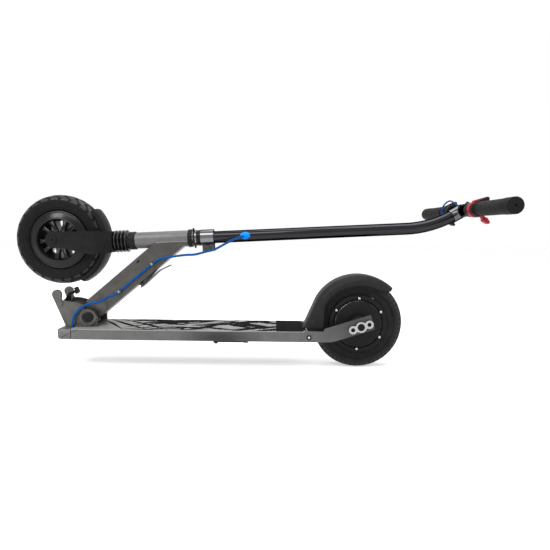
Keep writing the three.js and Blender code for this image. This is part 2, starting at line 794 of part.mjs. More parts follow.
const collarSpan = [headTubeLength + 28.2, headTubeLength + 57.3];
const collarRadius = 18.2;
const collarWall = 2.4;
const steererTop = collarSpan[1] - collarWall - fit;
const collarEarDrop = 31;
const collarEarHalfWidth = 8;
const collarSlit = 1.5;
const collarBoltDrop = 24;
const collarBoltRadius = 3;
const collarBoltHead = 4.6;
const plugLength = 8;
const springSeatRadius = 5;
const stemSides = 20;
const stemBoreSides = 8;
const bendRings = 6;
const barClampHalfWidth = 17;
const barClampRadius = 14.6;
const socketLength = 12;
const socketWall = 2;
const grommetS = 247.5;
const grommetT = 0.5;
const grommetHalfLength = 15;
const grommetHalfHeight = 9;
const grommetProud = 5;
const gripCap = 3;
const gripRibs = 4;
const gripRibHeight = 0.7;
const gripEndLength = 36;
const gripEndRadius = 15.6;
const gripHoleRadius = 2;

// The centre line of the stem: straight, one long bend, then straight to the handlebar.
function stemPath() {
  const angle = radians(stemBendAngle);
  const bendRun = stemBendRadius * Math.sin(angle);
  const bendRise = stemBendRadius * (1 - Math.cos(angle));
  const path = new THREE.CurvePath();
  const foot = new THREE.Vector3(stemFoot, 0, 0);
  const start = new THREE.Vector3(stemBendStart, 0, 0);
  const middle = new THREE.Vector3(stemBendStart + stemBendRadius * Math.tan(angle / 2), 0, 0);
  const end = new THREE.Vector3(stemBendStart + bendRun, 0, bendRise);
  const straight = (stemTop - end.x) / Math.cos(angle);
  const top = new THREE.Vector3(stemTop, 0, bendRise + straight * Math.sin(angle));
  path.add(new THREE.LineCurve3(foot, start));
  path.add(new THREE.QuadraticBezierCurve3(start, middle, end));
  path.add(new THREE.LineCurve3(end, top));
  return { path, start, middle, end, top, direction: top.clone().sub(end).normalize() };
}

const stem = stemPath();
const barPlace = [stem.top.x, 0, stem.top.z];

// A stretch of tube along the stem's centre line, as rings square to it.
function stemSweep(radius, sides, footShift, topShift) {
  const stations = [[stemFoot + footShift, 0, 0]];
  const angle = radians(stemBendAngle);
  for (let k = 0; k <= bendRings; k += 1) {
    const turn = angle * k / bendRings;
    stations.push([
      stemBendStart + stemBendRadius * Math.sin(turn), stemBendRadius * (1 - Math.cos(turn)), turn,
    ]);
  }
  const reach = barClampRadius + fit - topShift;
  stations.push([stem.top.x - reach * Math.cos(angle), stem.top.z - reach * Math.sin(angle), angle]);
  const rings = stations.map(([s, t, turn]) => Array.from({ length: sides }, (unused, k) => {
    const around = 2 * Math.PI * k / sides;
    const rise = radius * Math.cos(around);
    return new THREE.Vector3(s - rise * Math.sin(turn), radius * Math.sin(around),
      t + rise * Math.cos(turn));
  }));
  return loft(rings);
}

// A solid skinned over rings of points, capped with a fan at either end.
function loft(rings) {
  const count = rings[0].length;
  const points = rings.flat();
  const faces = [];
  for (let i = 0; i + 1 < rings.length; i += 1) {
    for (let k = 0; k < count; k += 1) {
      const a = i * count + k;
      const b = i * count + (k + 1) % count;
      faces.push(a, b, b + count, a, b + count, a + count);
    }
  }
  const last = (rings.length - 1) * count;
  for (let k = 1; k + 1 < count; k += 1) {
    faces.push(0, k + 1, k, last, last + k, last + k + 1);
  }
  const geometry = new THREE.BufferGeometry();
  geometry.setAttribute('position', new THREE.Float32BufferAttribute(points.flatMap((p) => p.toArray()),
    3));
  geometry.setIndex(faces);
  return solid(geometry);
}

function stemTube() {
  const tube = cut(stemSweep(stemRadius, stemSides, 0, 0),
    stemSweep(stemRadius - stemWall, stemBoreSides, plugLength, overrun));
  const seat = rod('x', stemFoot - plugLength, stemFoot + overrun, springSeatRadius, 12);
  return join(tube, seat);
}

function steererTube() {
  return ring('x', steererFoot, steererTop, steererBore, steererRadius);
}

function dustRing() {
  const [from, to] = dustRingSpan;
  const step = from + dustRingStep;
  const bore = steererRadius + fit;
  return turned('x', [[from, bore], [from, dustRingStepRadius], [step, dustRingStepRadius],
    [step, lockRingRadius], [to, lockRingRadius], [to, bore]]);
}

function clampCollar() {
  const [from, to] = collarSpan;
  const ear = block([from + collarWall, to], [-collarEarHalfWidth, collarEarHalfWidth],
    [-collarEarDrop, 0]);
  const round = ring('x', from, to, steererRadius + fit, collarRadius, tubeSides);
  const lip = ring('x', to - collarWall, to, stemRadius + fit, steererRadius + overrun, tubeSides);
  const bore = rod('x', from - overrun, to - collarWall, steererRadius + fit, tubeSides);
  const stemBore = rod('x', from - overrun, to + overrun, stemRadius + fit, tubeSides);
  const slit = block([from - overrun, to + overrun], [-collarSlit / 2, collarSlit / 2],
    [-collarEarDrop - overrun, 0]);
  const middle = (from + collarWall + to) / 2;
  const reach = collarEarHalfWidth + overrun;
  const hole = moved(rod('y', -reach, reach, collarBoltRadius + fit, 12), middle, 0, -collarBoltDrop);
  return cut(join(round, ear, lip), bore, stemBore, slit, hole);
}

function clampBolt() {
  const middle = (collarSpan[0] + collarWall + collarSpan[1]) / 2;
  const body = headedPin(collarEarHalfWidth + fit, collarBoltRadius, collarBoltHead, collarBoltRadius, 12);
  return moved(body, middle, 0, -collarBoltDrop);
}

function barClamp() {
  const angle = radians(stemBendAngle);
  const reach = barClampRadius + socketLength;
  const along = rod('x', -reach, 0, stemRadius + fit + socketWall, roundSides);
  const socket = turnedAbout(new THREE.Vector3(0, 1, 0), along, -stemBendAngle);
  const tube = join(rod('y', -barClampHalfWidth, barClampHalfWidth, barClampRadius), socket);
  const stemBore = turnedAbout(new THREE.Vector3(0, 1, 0),
    rod('x', -reach - overrun, -barClampRadius, stemRadius + fit, stemSides), -stemBendAngle);
  const barBore = rod('y', -barClampHalfWidth - overrun, barClampHalfWidth + overrun, barRadius + fit);
  return moved(cut(tube, stemBore, barBore), barPlace[0], 0, barPlace[2]);
}

function handlebarTube() {
  const half = barHalfLength - gripCap - fit;
  return moved(ring('y', -half, half, barRadius - stemWall, barRadius), barPlace[0], 0, barPlace[2]);
}

// Grip on the rider's left: a ribbed body, a plain flared end and a cap with a small vent hole.
function gripBody() {
  const inner = -gripInner;
  const outer = -barHalfLength;
  const flare = outer + gripEndLength;
  const pitch = (inner - flare) / gripRibs;
  const profile = [[inner, barRadius + fit], [inner, gripRadius]];
  for (let k = 0; k < gripRibs; k += 1) {
    profile.push([inner - pitch * (k + 1 / 2), gripRadius + gripRibHeight],
      [inner - pitch * (k + 1), gripRadius]);
  }
  profile.push(
    [flare - gripCap, gripEndRadius], [outer + gripCap, gripEndRadius], [outer, gripEndRadius - gripCap],
    [outer, gripHoleRadius], [outer + gripCap, gripHoleRadius], [outer + gripCap, barRadius + fit],
  );
  return turned('y', profile);
}

function onBar(body) {
  return moved(body, barPlace[0], 0, barPlace[2]);
}

const pivotSleeve = 13;
const housingInner = -46;
const housingOuter = -64;
const housingRadius = 15.6;
const collarInner = -76.6;
const collarOuter = -86;
const horn = [18, 20.5];
const hornRadius = 4;
const leverRingInner = 13.4;
const leverRingOuter = 17;
const brakeThumbTip = [24.8, -29.8];
const throttleThumbTip = [8.9, -31];
const thumbTipRadius = 6;
const thumbThickness = 5;
const thumbHalfWidth = 8;

// Thumb control housing: a switch barrel and a horned collar on one sleeve round the bar.
function thumbHousing() {
  const barrel = turned('y', [
    [housingInner, barRadius + fit], [housingInner, housingRadius - fit],
      [housingInner - fit, housingRadius],
    [housingOuter, housingRadius], [housingOuter, pivotSleeve], [collarInner, pivotSleeve],
    [collarInner, housingRadius], [collarOuter, housingRadius], [collarOuter, barRadius + fit],
  ]);
  const hornPlate = sidePlate(belt([[0, 0, housingRadius], [...horn, hornRadius]]),
    [collarOuter, collarInner], 4);
  const bore = rod('y', collarOuter - overrun, collarInner + overrun, barRadius + fit);
  return join(barrel, cut(hornPlate, bore));
}

// Thumb lever: a ring round the sleeve with a paddle curving out to the rider's thumb.
function thumbLever(thumbTip) {
  const from = collarInner + fit;
  const to = housingOuter - fit;
  const middle = (from + to) / 2;
  const eye = ring('y', from, to, leverRingInner, leverRingOuter);
  const arm = sidePlate(belt([
    [0, 0, leverRingOuter], [thumbTip[0] - thumbTipRadius, thumbTip[1] + thumbTipRadius, thumbThickness],
  ]), [from, to], 5);
  const paddle = sidePlate(belt([
    [thumbTip[0] - thumbTipRadius, thumbTip[1] + thumbTipRadius, thumbThickness],
    [...thumbTip, thumbThickness / 2],
  ]), [middle - thumbHalfWidth, middle + thumbHalfWidth], 4);
  const bore = rod('y', from - overrun, to + overrun, leverRingInner);
  return cut(join(eye, arm, paddle), bore);
}

function grommet() {
  const ball = new THREE.SphereGeometry(1, smallSides, hoseSides);
  ball.scale(grommetHalfLength, grommetProud + stemRadius / 2, grommetHalfHeight);
  const blob = moved(solid(ball), grommetS, -stemRadius / 2, grommetT);
  return cut(blob, rod('x', stemFoot, stemBendStart, stemRadius + fit, stemSides));
}

piece(steering, 'steerer_tube', steererTube(), finish.steel);
piece(steering, 'headset_lock_ring', lockRing(), finish.blackPaint);
piece(steering, 'headset_dust_ring', dustRing(), finish.rubber);
piece(steering, 'clamp_collar', clampCollar(), finish.chrome);
piece(steering, 'clamp_bolt', clampBolt(), finish.steel);
piece(steering, 'stem_tube', stemTube(), finish.blackChrome);
piece(steering, 'bar_clamp', barClamp(), finish.chrome);
piece(steering, 'handlebar_tube', handlebarTube(), finish.steel);
piece(steering, 'grip_left', onBar(gripBody()), finish.rubber);
piece(steering, 'grip_right', onBar(mirrored(gripBody())), finish.rubber);
piece(steering, 'brake_housing', onBar(thumbHousing()), finish.blackPlastic);
piece(steering, 'throttle_housing', onBar(mirrored(thumbHousing())), finish.blackPlastic);
piece(steering, 'brake_lever', onBar(thumbLever(brakeThumbTip)), finish.red);
piece(steering, 'throttle_lever', onBar(mirrored(thumbLever(throttleThumbTip))), finish.blackPlastic);

// Fork, bellows boot and suspension spring
const frontAxleS = -166.5;
const frontAxleT = 9.8;
const forkOuter = 45;
const forkInner = 35;
const forkEndRadius = 18;
const guardOuter = 108;
const crownEnd = -48;
const crownThickness = crownEnd - fit - guardOuter - frontAxleS;
const crownHalfHeight = 23.4;
const crownHalfWidth = 26;
const crownTaperStart = -78;
const forkBellyS = -88;
const forkBellyT = -25.4;
const sliderRadius = steererBore - runningFit;
const sliderWall = 2.5;
const sliderTop = 60;
const bellowsRibs = 4;
const bellowsRise = 0.3;
const bellowsRibRadius = 25;
const bellowsRootRadius = 21.6;
const bellowsWall = 1.6;
const bellowsNeck = 6;
const springMeanRadius = 11;
const springWireRadius = 1.5;
const springTurns = 6.5;
const springStepsPerTurn = 7;
const springWireSides = 4;
const guardThickness = 2.6;
const guardHalfWidth = 25.5;
const guardCrown = 4;
const guardUpperAngle = 37;
const guardLowerAngle = -64;
const guardSteps = 9;
const guardColumnShares = [-1, -0.96, -0.6, 0, 0.6, 0.96, 1];
const guardDropShares = [2.4, 1, 0.3, 0, 0.3, 1, 2.4];
const frontAxleRadius = 6;
const frontAxleHead = 7.5;
const frontAxleHeadHeight = 2.6;
const hubHalfWidth = 16;
const axleShoulder = 8.5;

function forkSideOutline() {
  const shape = new THREE.Shape();
  shape.moveTo(crownEnd, -crownHalfHeight);
  shape.lineTo(forkBellyS, forkBellyT);
  shape.quadraticCurveTo((forkBellyS + frontAxleS) / 2, forkBellyT + forkEndRadius / 2,
    frontAxleS + forkEndRadius, frontAxleT - forkEndRadius);
  shape.absarc(frontAxleS, frontAxleT, forkEndRadius, -Math.PI / 2, Math.PI / 2, true);
  shape.lineTo(crownEnd, crownHalfHeight);
  return shape;
}

function forkPlanOutline() {
  const back = frontAxleS - forkEndRadius - overrun;
  const half = [
    [crownEnd, crownHalfWidth], [crownTaperStart, forkOuter], [back, forkOuter], [back, forkInner],
    [crownTaperStart + crownThickness / 2, forkInner],
      [crownEnd - crownThickness, crownHalfWidth + crownThickness / 4],
  ];
  return [...half, ...half.map(([s, y]) => [s, -y]).reverse()];
}

function forkFrame() {
  const reach = forkEndRadius + crownHalfHeight;
  const plan = flatPlate(forkPlanOutline(), [-reach, reach]);
  const side = sidePlate(forkSideOutline(), [-forkOuter - overrun, forkOuter + overrun], 10);
  const slider = rod('x', crownEnd - overrun, sliderTop, sliderRadius);
  const bore = rod('x', crownEnd, sliderTop - sliderWall, sliderRadius - sliderWall);
  const vent = rod('x', sliderTop - 2 * sliderWall, sliderTop + overrun, sliderWall, 8);
  const reachY = forkOuter + overrun;
  const axleHole = moved(rod('y', -reachY, reachY, frontAxleRadius + fit), frontAxleS, 0, frontAxleT);
  return cut(join(plan.intersect(side), cut(slider, bore, vent)), axleHole);
}

function bellows() {
  const from = crownEnd + fit;
  const to = -cupLength - 2 * fit;
  const ribEnd = to - bellowsNeck;
  const pitch = (ribEnd - from) / bellowsRibs;
  const profile = [];
  for (let k = 0; k < bellowsRibs; k += 1) {
    const start = from + pitch * k;
    profile.push([start, bellowsRootRadius], [start + pitch * bellowsRise, bellowsRibRadius],
      [start + pitch * (1 - bellowsRise), bellowsRibRadius]);
  }
  const neckBore = steererRadius + fit;
  const bore = bellowsRootRadius - bellowsWall;
  profile.push([ribEnd, bellowsRootRadius], [ribEnd + bellowsWall, neckBore + 2 * bellowsWall],
    [to, neckBore + 2 * bellowsWall], [to, neckBore], [ribEnd, neckBore], [ribEnd - bellowsWall, bore],
      [from, bore]);
  return turned('x', profile);
}

// A coil spring as one swept wire, its first and last turns closed up by their seats.
function suspensionSpring() {
  const from = sliderTop + fit + springWireRadius;
  const to = stemFoot - fit - springWireRadius;
  const steps = Math.round(springTurns * springStepsPerTurn);
  const rings = Array.from({ length: steps + 1 }, (unused, k) => {
    const share = k / steps;
    const around = 2 * Math.PI * springTurns * share;
    const along = from + (to - from) * share;
    return Array.from({ length: springWireSides }, (unusedToo, j) => {
      const roll = 2 * Math.PI * j / springWireSides;
      const radius = springMeanRadius + springWireRadius * Math.cos(roll);
      return new THREE.Vector3(along + springWireRadius * Math.sin(roll),
        radius * Math.cos(around), radius * Math.sin(around));
    });
  });
  return loft(rings);
}

function frontGuard() {
  const grid = (inset) => Array.from({ length: guardSteps + 1 }, (unused, i) => {
    const angle = radians(guardUpperAngle + (guardLowerAngle - guardUpperAngle) * i / guardSteps);
    return guardColumnShares.map((share, j) => {
      const radius = guardOuter - inset - guardCrown * guardDropShares[j];
      const width = guardHalfWidth - (Math.abs(share) > guardColumnShares[4] ? inset : 0);
      return new THREE.Vector3(frontAxleS + radius * Math.cos(angle), width * share,
        frontAxleT + radius * Math.sin(angle));
    });
  });
  const outer = grid(0);
  const inner = grid(guardThickness);
  outer.forEach((row, i) => {
    const end = row.length - 1;
    [0, end].forEach((j) => {
      inner[i][j].set(outer[i][j].x, inner[i][j].y, outer[i][j].z);
    });
  });
  return shell(outer, inner);
}

function frontAxle() {
  const end = forkOuter + fit;
  const head = end + frontAxleHeadHeight;
  const blade = forkInner - fit;
  const hub = hubHalfWidth + fit;
  const half = [
    [head, 0], [head, frontAxleHead], [end, frontAxleHead], [end, frontAxleRadius],
      [blade, frontAxleRadius],
    [blade, axleShoulder], [hub, axleShoulder], [hub, frontAxleRadius],
  ];
  const body = turned('y', [...half, ...half.map(([y, r]) => [-y, r]).reverse()], smallSides);
  return moved(body, frontAxleS, 0, frontAxleT);
}

piece(steering, 'fork_frame', forkFrame(), finish.blackPaint);
piece(steering, 'fork_bellows', bellows(), finish.rubber);
piece(steering, 'suspension_spring', suspensionSpring(), finish.steel);
piece(steering, 'front_mudguard', frontGuard(), finish.blackPlastic);
piece(steering, 'front_axle', frontAxle(), finish.steel);

// Front wheel
const rimSeatRadius = 62;
const rimSeatHalf = 13;
const rimFlangeRadius = 64;
const rimFlangeHalf = 17;
const rimLipRadius = 61.5;
const rimInnerRadius = 44;
const rimInnerHalf = 10;
const rimDishRadius = 46.5;
const rimDishHalf = 12.5;
const spokeCount = 5;
const spokeHalfWidth = 5;
const spokeHalfThickness = 6;
const hubRadius = 20;
const bearingSeatRadius = 11.3;
const tyreShoulderRadius = 83;
const frontTread = [[0, 99.5], [7, 99.3], [15.5, 96.2], [21.5, 90.5]];

const frontWheel = group(steering, frontAxleS, frontAxleT);

function symmetric(half) {
  return [...half, ...half.map(([along, radius]) => [-along, radius]).reverse()];
}

function frontTyre() {
  const scale = frontTyreRadius / frontTread[0][1];
  const tread = frontTread.slice(1).map(([along, radius]) => [along, radius * scale]);
  return turned('y', symmetric([
    [rimSeatHalf - fit, rimSeatRadius + fit], [rimFlangeHalf - fit, rimFlangeRadius + fit],
    [frontTyreHalfWidth - overrun, (rimFlangeRadius + tyreShoulderRadius) / 2],
    [frontTyreHalfWidth, tyreShoulderRadius], ...tread.reverse(),
  ]), wheelSides);
}

function frontRim() {
  const rim = turned('y', symmetric([
    [rimSeatHalf, rimSeatRadius], [rimFlangeHalf, rimFlangeRadius], [rimFlangeHalf, rimLipRadius],
    [rimDishHalf, rimDishRadius], [rimInnerHalf, rimInnerRadius],
  ]), wheelSides);
  const spokes = Array.from({ length: spokeCount }, (unused, k) => turnedAbout(new THREE.Vector3(0, 1, 0),
    block([hubRadius - overrun, rimInnerRadius + overrun], [-spokeHalfThickness, spokeHalfThickness],
      [-spokeHalfWidth, spokeHalfWidth]), fullTurn * (k + 1 / 4) / spokeCount));
  const hub = rod('y', -hubHalfWidth, hubHalfWidth, hubRadius);
  const bore = rod('y', -hubHalfWidth - overrun, hubHalfWidth + overrun, bearingSeatRadius);
  return cut(join(rim, hub, ...spokes), bore);
}

function hubBearings() {
  const inner = frontAxleRadius + fit;
  const outer = bearingSeatRadius - fit;
  const sleeve = (inner + outer) / 2;
  const start = hubHalfWidth - bearingLength;
  return turned('y', [
    [-hubHalfWidth, inner], [-hubHalfWidth, outer], [-start, outer], [-start, sleeve],
    [start, sleeve], [start, outer], [hubHalfWidth, outer], [hubHalfWidth, inner],
  ], smallSides);
}

piece(frontWheel, 'front_tyre', frontTyre(), finish.rubber);
piece(frontWheel, 'front_rim', frontRim(), finish.blackChrome);
piece(frontWheel, 'front_hub_bearings', hubBearings(), finish.steel);

// Rear wheel with its hub motor
const motorRimRadius = 66;
const motorRimInner = 60;
const motorRimHalf = 16.7;
const coverFlange = 52;
const coverFlangeY = 23.5;
const coverDomeRadius = 50;
const coverDomeY = 27;
const coverHubRadius = 14;
const coverHubY = 31;
const coverWall = 3.5;
const screwCircle = 58;
const screwCount = 6;
const screwRadius = 3;
const screwHeight = 1.4;
const screwPhase = 28.6;
const stepRadius = 82;
const rearShoulderDrop = 7;
const rearTreadHalf = 10;
const statorRadius = 57;
const statorHalf = 13;
const statorTeeth = 12;
const statorCore = 30;
const toothShare = 0.62;
const rearAxleShoulder = 9;

const rearWheel = group(deck, 0, axleZ);

function rearTyre() {
  return turned('y', symmetric([
    [motorRimHalf, motorRimRadius + fit], [rearTyreHalfWidth - 5 * overrun, stepRadius - overrun],
    [rearTyreHalfWidth - overrun, stepRadius + overrun],
    [rearTyreHalfWidth, rearTyreRadius - 2 * rearShoulderDrop],
    [rearTyreHalfWidth - rearShoulderDrop / 2, rearTyreRadius - rearShoulderDrop / 2],
      [rearTreadHalf, rearTyreRadius],
  ]), wheelSides);
}

function motorCover() {
  const flat = turned('y', [
    [-motorRimHalf - fit, motorRimRadius - 2 * fit], [-coverFlangeY + overrun, motorRimRadius - 2 * fit],
    [-coverFlangeY, motorRimRadius - 2 * fit - overrun],
    [-coverFlangeY, coverFlange], [-coverDomeY, coverDomeRadius], [-coverDomeY, coverHubRadius + overrun],
    [-coverHubY, coverHubRadius], [-coverHubY, axleRadius + runningFit],
    [-coverDomeY + coverWall, axleRadius + runningFit],
      [-coverDomeY + coverWall, coverDomeRadius - coverWall],
    [-motorRimHalf - fit, coverDomeRadius],
  ], 24);
  const screws = Array.from({ length: screwCount }, (unused, k) => {
    const angle = radians(screwPhase + fullTurn * k / screwCount);
    return moved(rod('y', -coverFlangeY - screwHeight, -coverFlangeY + overrun, screwRadius, 6),
      screwCircle * Math.cos(angle), 0, screwCircle * Math.sin(angle));
  });
  return join(flat, ...screws);
}

function motorStator() {
  const shape = [];
  for (let k = 0; k < statorTeeth; k += 1) {
    const pitch = 2 * Math.PI / statorTeeth;
    const half = pitch * toothShare / 2;
    const middle = pitch * k;
    shape.push([statorCore * Math.cos(middle - half), statorCore * Math.sin(middle - half)],
      [statorRadius * Math.cos(middle - half), statorRadius * Math.sin(middle - half)],
      [statorRadius * Math.cos(middle + half), statorRadius * Math.sin(middle + half)],
      [statorCore * Math.cos(middle + half), statorCore * Math.sin(middle + half)]);
  }
  const core = sidePlate(shape, [-statorHalf, statorHalf]);
  return cut(core, rod('y', -statorHalf - overrun, statorHalf + overrun, axleRadius + fit));
}

piece(rearWheel, 'rear_tyre', rearTyre(), finish.rubber);
piece(rearWheel, 'hub_motor_ring', ring('y', -motorRimHalf, motorRimHalf, motorRimInner, motorRimRadius,
  wheelSides), finish.blackPaint);
piece(rearWheel, 'motor_cover_left', motorCover(), finish.blackPaint);
piece(rearWheel, 'motor_cover_right', mirrored(motorCover()), finish.blackPaint);
piece(rearWheel, 'motor_stator', motorStator(), finish.copper);

// Rear axle and its clamp plates
const platePitch = 18.7;
const plateAngle = 19.5;
const plateMiddleRadius = 12.3;
const plateEndRadius = 9.4;
const plateThickness = 4.4;
const plateBore = 8.2;
const plateHole = 4.6;
const plateWaist = 0.72;
const nutRadius = 7.4;
const nutRecess = 0.8;

function axlePlate() {
  const inner = -deckHalfWidth - fit;
  const span = [inner - plateThickness, inner];
  const place = (k) => [
    k * platePitch * Math.cos(radians(plateAngle)), k * platePitch * Math.sin(radians(plateAngle)),
  ];
  const lobe = (k, radius, from, to) => moved(rod('y', from, to, radius, smallSides), place(k)[0], 0,
    place(k)[1]);
  const lobes = [-1, 0, 1].map((k) => lobe(k, k === 0 ? plateMiddleRadius : plateEndRadius, ...span));
  const neckWidth = plateEndRadius * plateWaist;
  const web = sidePlate(belt([[...place(-1), neckWidth], [...place(1), neckWidth]]), span, 4);
  const cutSpan = [span[0] - overrun, span[1] + overrun];
  const holes = [-1, 0, 1].map((k) => lobe(k, k === 0 ? plateBore : plateHole, ...cutSpan));
  return cut(join(...lobes, web), ...holes);
}

function rearAxle() {
  const arm = railInner - fit;
  const outer = deckHalfWidth + fit;
  const end = outer + plateThickness - nutRecess;
  const half = [
    [end, 0], [end, nutRadius], [outer, nutRadius], [outer, axleRadius], [arm, axleRadius],
    [arm, rearAxleShoulder], [coverHubY + fit, rearAxleShoulder], [coverHubY + fit, axleRadius],
  ];
  return turned('y', symmetric(half), smallSides);
}

piece(rearWheel, 'rear_axle', rearAxle(), finish.steel);
piece(rearWheel, 'axle_plate_left', axlePlate(), finish.chrome);
piece(rearWheel, 'axle_plate_right', mirrored(axlePlate()), finish.chrome);

// Rear mudguard, which is also the foot brake: a lofted shell from the deck over the wheel to a pointed tip
const hoodFootX = -122.5;
const hoodFootZ = 92;
const hoodStart = 150;
const hoodEnd = 46.5;
const hoodStartRadius = 109;
const hoodEndRadius = 112.8;
const hoodHalfWidth = 35;
const hoodThickness = 2;
const hoodArch = 14;
const hoodSkirtRadius = 82;
const hoodFootDepth = 42;
const hoodTaperFrom = 66;
const hoodTipShare = 0.72;
const hoodTipArch = 11;
const hoodStraightSteps = 3;
const hoodArcSteps = 11;
const hoodArchPower = 5;
const hoodColumnShares = [-1, -0.96, -0.76, -0.34, 0.34, 0.76, 0.96, 1];
const hoodRim = 0.96;
const hoodLugSpan = [28.6, 34];
const hoodLugRadius = 7;

function hoodStations() {
  const stations = [];
  const start = radians(hoodStart);
  const startPoint = [hoodStartRadius * Math.cos(start), axleZ + hoodStartRadius * Math.sin(start)];
  const startDepth = hoodStartRadius - hoodSkirtRadius;
  for (let k = 0; k < hoodStraightSteps; k += 1) {
    const share = k / hoodStraightSteps;
    const turn = Math.PI * (1 - share) + share * start;
    stations.push({
      x: hoodFootX + (startPoint[0] - hoodFootX) * share,
      z: hoodFootZ + (startPoint[1] - hoodFootZ) * share,
      turn: turn - Math.PI,
      depth: hoodFootDepth + (startDepth - hoodFootDepth) * share,
      width: 1,
      arch: hoodArch,
    });
  }
  for (let k = 0; k <= hoodArcSteps; k += 1) {
    const share = k / hoodArcSteps;
    const angle = hoodStart + (hoodEnd - hoodStart) * share;
    const radius = hoodStartRadius + (hoodEndRadius - hoodStartRadius) * share;
    const fade = Math.max(0, (hoodTaperFrom - angle) / (hoodTaperFrom - hoodEnd));
    const full = radius - hoodSkirtRadius;
    stations.push({
      x: radius * Math.cos(radians(angle)),
      z: axleZ + radius * Math.sin(radians(angle)),
      turn: radians(angle) - Math.PI,
      depth: full + (hoodTipArch - full) * fade * fade,
      width: 1 - (1 - hoodTipShare) * fade * fade,
      arch: hoodArch - (hoodArch - hoodTipArch) * fade * fade,
    });
  }
  return stations;
}

function rearHood() {
  const grid = (inset) => hoodStations().map(({ x, z, turn, depth, width, arch }) => {
    const half = hoodHalfWidth * width - inset;
    return hoodColumnShares.map((share) => {
      const edge = Math.abs(share) === 1;
      const across = edge ? Math.sign(share) : share / hoodRim;
      const drop = edge ? depth : inset + (arch - overrun) * Math.abs(across) ** hoodArchPower;
      return new THREE.Vector3(x + drop * Math.cos(turn), half * across, z + drop * Math.sin(turn));
    });
  });
  const lug = sidePlate(belt([
    [fenderPinX, fenderPinZ, hoodLugRadius], [hoodFootX + 2 * hoodLugRadius, hoodFootZ + hoodLugRadius,
      hoodThickness],
    [hoodFootX + hoodFootDepth - 2 * hoodThickness, hoodFootZ + hoodLugRadius, hoodThickness],
  ]), hoodLugSpan, 4);
  const reach = hoodLugSpan[1] + overrun;
  const bore = moved(rod('y', -reach, reach, fenderPinRadius + fit, 16), fenderPinX, 0, fenderPinZ);
  return cut(join(shell(grid(0), grid(hoodThickness)), lug, mirrored(lug)), bore);
}

piece(deck, 'rear_brake_hood', rearHood(), finish.blackPlastic);
piece(deck, 'hood_hinge_bolt', moved(headedPin(deckHalfWidth + fit, fenderPinRadius, fenderPinHeadRadius,
  fenderPinHeadHeight, smallSides), fenderPinX, 0, fenderPinZ), finish.steel);

// Kickstand under the deck, swung down and out about a tilted bolt
const kickPivotX = -323;
const kickPivotY = -16;
const kickPivotDrop = 9;
const kickTilt = 35;
const kickLegLength = 74;
const kickLegRadius = 3.8;
const kickEyeRadius = 5.6;
const kickEyeHalf = 3;
const kickLugThickness = 2.6;
const kickBoltRadius = 2.6;
const kickPlateSpan = [-372, -312];
const kickPlateHalfWidth = 13;
const kickPlateThickness = 2;
const kickFlat = 2 * kickEyeRadius + runningFit;
const kickFootLength = 10;
const kickFootRadius = 4.6;

const kickstand = new THREE.Group();
kickstand.position.set(kickPivotX, kickPivotY, deckBottom - kickPivotDrop);
kickstand.rotation.x = -radians(kickTilt);
deck.add(kickstand);

function kickBracket() {
  const top = deckBottom - fit;
  const plate = flatPlate(roundedRectangle(kickPlateSpan,
    [kickPivotY - kickPlateHalfWidth, kickPivotY + kickPlateHalfWidth], kickPlateThickness),
  [top - kickPlateThickness, top], 3);
  const inner = kickEyeHalf + fit;
  const lugs = [[inner, inner + kickLugThickness], [-inner - kickLugThickness,
    -inner]].map((span) => sidePlate(belt([
    [0, 0, kickEyeRadius], [-kickEyeRadius, 2 * kickEyeRadius, kickEyeRadius],
      [kickEyeRadius, 2 * kickEyeRadius,
      kickEyeRadius],
  ]), span, 3));
  const outer = inner + kickLugThickness;
  const bolt = rod('y', -outer - kickLugThickness, outer + kickLugThickness, kickBoltRadius, hoseSides);
  const above = block([kickPivotX - kickPlateHalfWidth * 2, kickPivotX + kickPlateHalfWidth * 2],
    [-deckHalfWidth, deckHalfWidth], [top, deckTop]);
  return cut(join(plate, seenFrom(join(...lugs, bolt), kickstand, deck)), above);
}

function kickLeg() {
  const eye = rod('y', -kickEyeHalf, kickEyeHalf, kickEyeRadius);
  const leg = rod('x', 0, kickLegLength, kickLegRadius, smallSides);
  const foot = rod('x', kickLegLength - kickFootLength, kickLegLength, kickFootRadius, smallSides);
  const reach = kickLegRadius + overrun;
  return cut(join(eye, leg, foot), rod('y', -reach, reach, kickBoltRadius + fit, 12),
    block([-reach, kickFlat], [kickEyeHalf, 2 * reach], [-reach, reach]),
    block([-reach, kickFlat], [-2 * reach, -kickEyeHalf], [-reach, reach]));
}

piece(deck, 'kickstand_bracket', kickBracket(), finish.blackPaint);
piece(kickstand, 'kickstand_leg', kickLeg(), finish.blackPaint);

// Cables: the blue harness from the stem to the deck, the latch cable and the two control leads
const harnessSteps = 20;
const releaseCableRadius = 1.2;
const leadRadius = 1.8;
const upperHarness = [
  [-260, -17, 295.8], [-266.5, -17.7, 293.9], [-275, -18.6, 290.9], [-284.1, -19.2, 287.5],
    [-299.8, -19.6, 278.9],
  [-324.2, -20, 265.7], [-343.6, -20.5, 260.2], [-369, -20.5, 253.6], [-390.5, -20.5, 252.2],
  [-422.9, -20.5, 247.6], [-439.9, -20.5, 244.9], [-450, -20.6, 241],
];
const lowerHarness = [
  [-547.6, -24.5, 160.9], [-563.3, -31, 156.4], [-575.1, -35.5, 147.9], [-597.4, -38.2, 143.2],
  [-613, -38.6, 136.7], [-624.9, -38.6, 128.1], [-632.9, -38.6, 117.8], [-637.6, -38.6, 106],
  [-638.6, -38.6, 96], [-638.6, -38.6, 84],
];
const releaseCable = [[-49.5, 31], [-45, 33.8], [-36, 37.3], [-28.3, 38.3], [-19, 36.6], [-10.5, 32.5]];
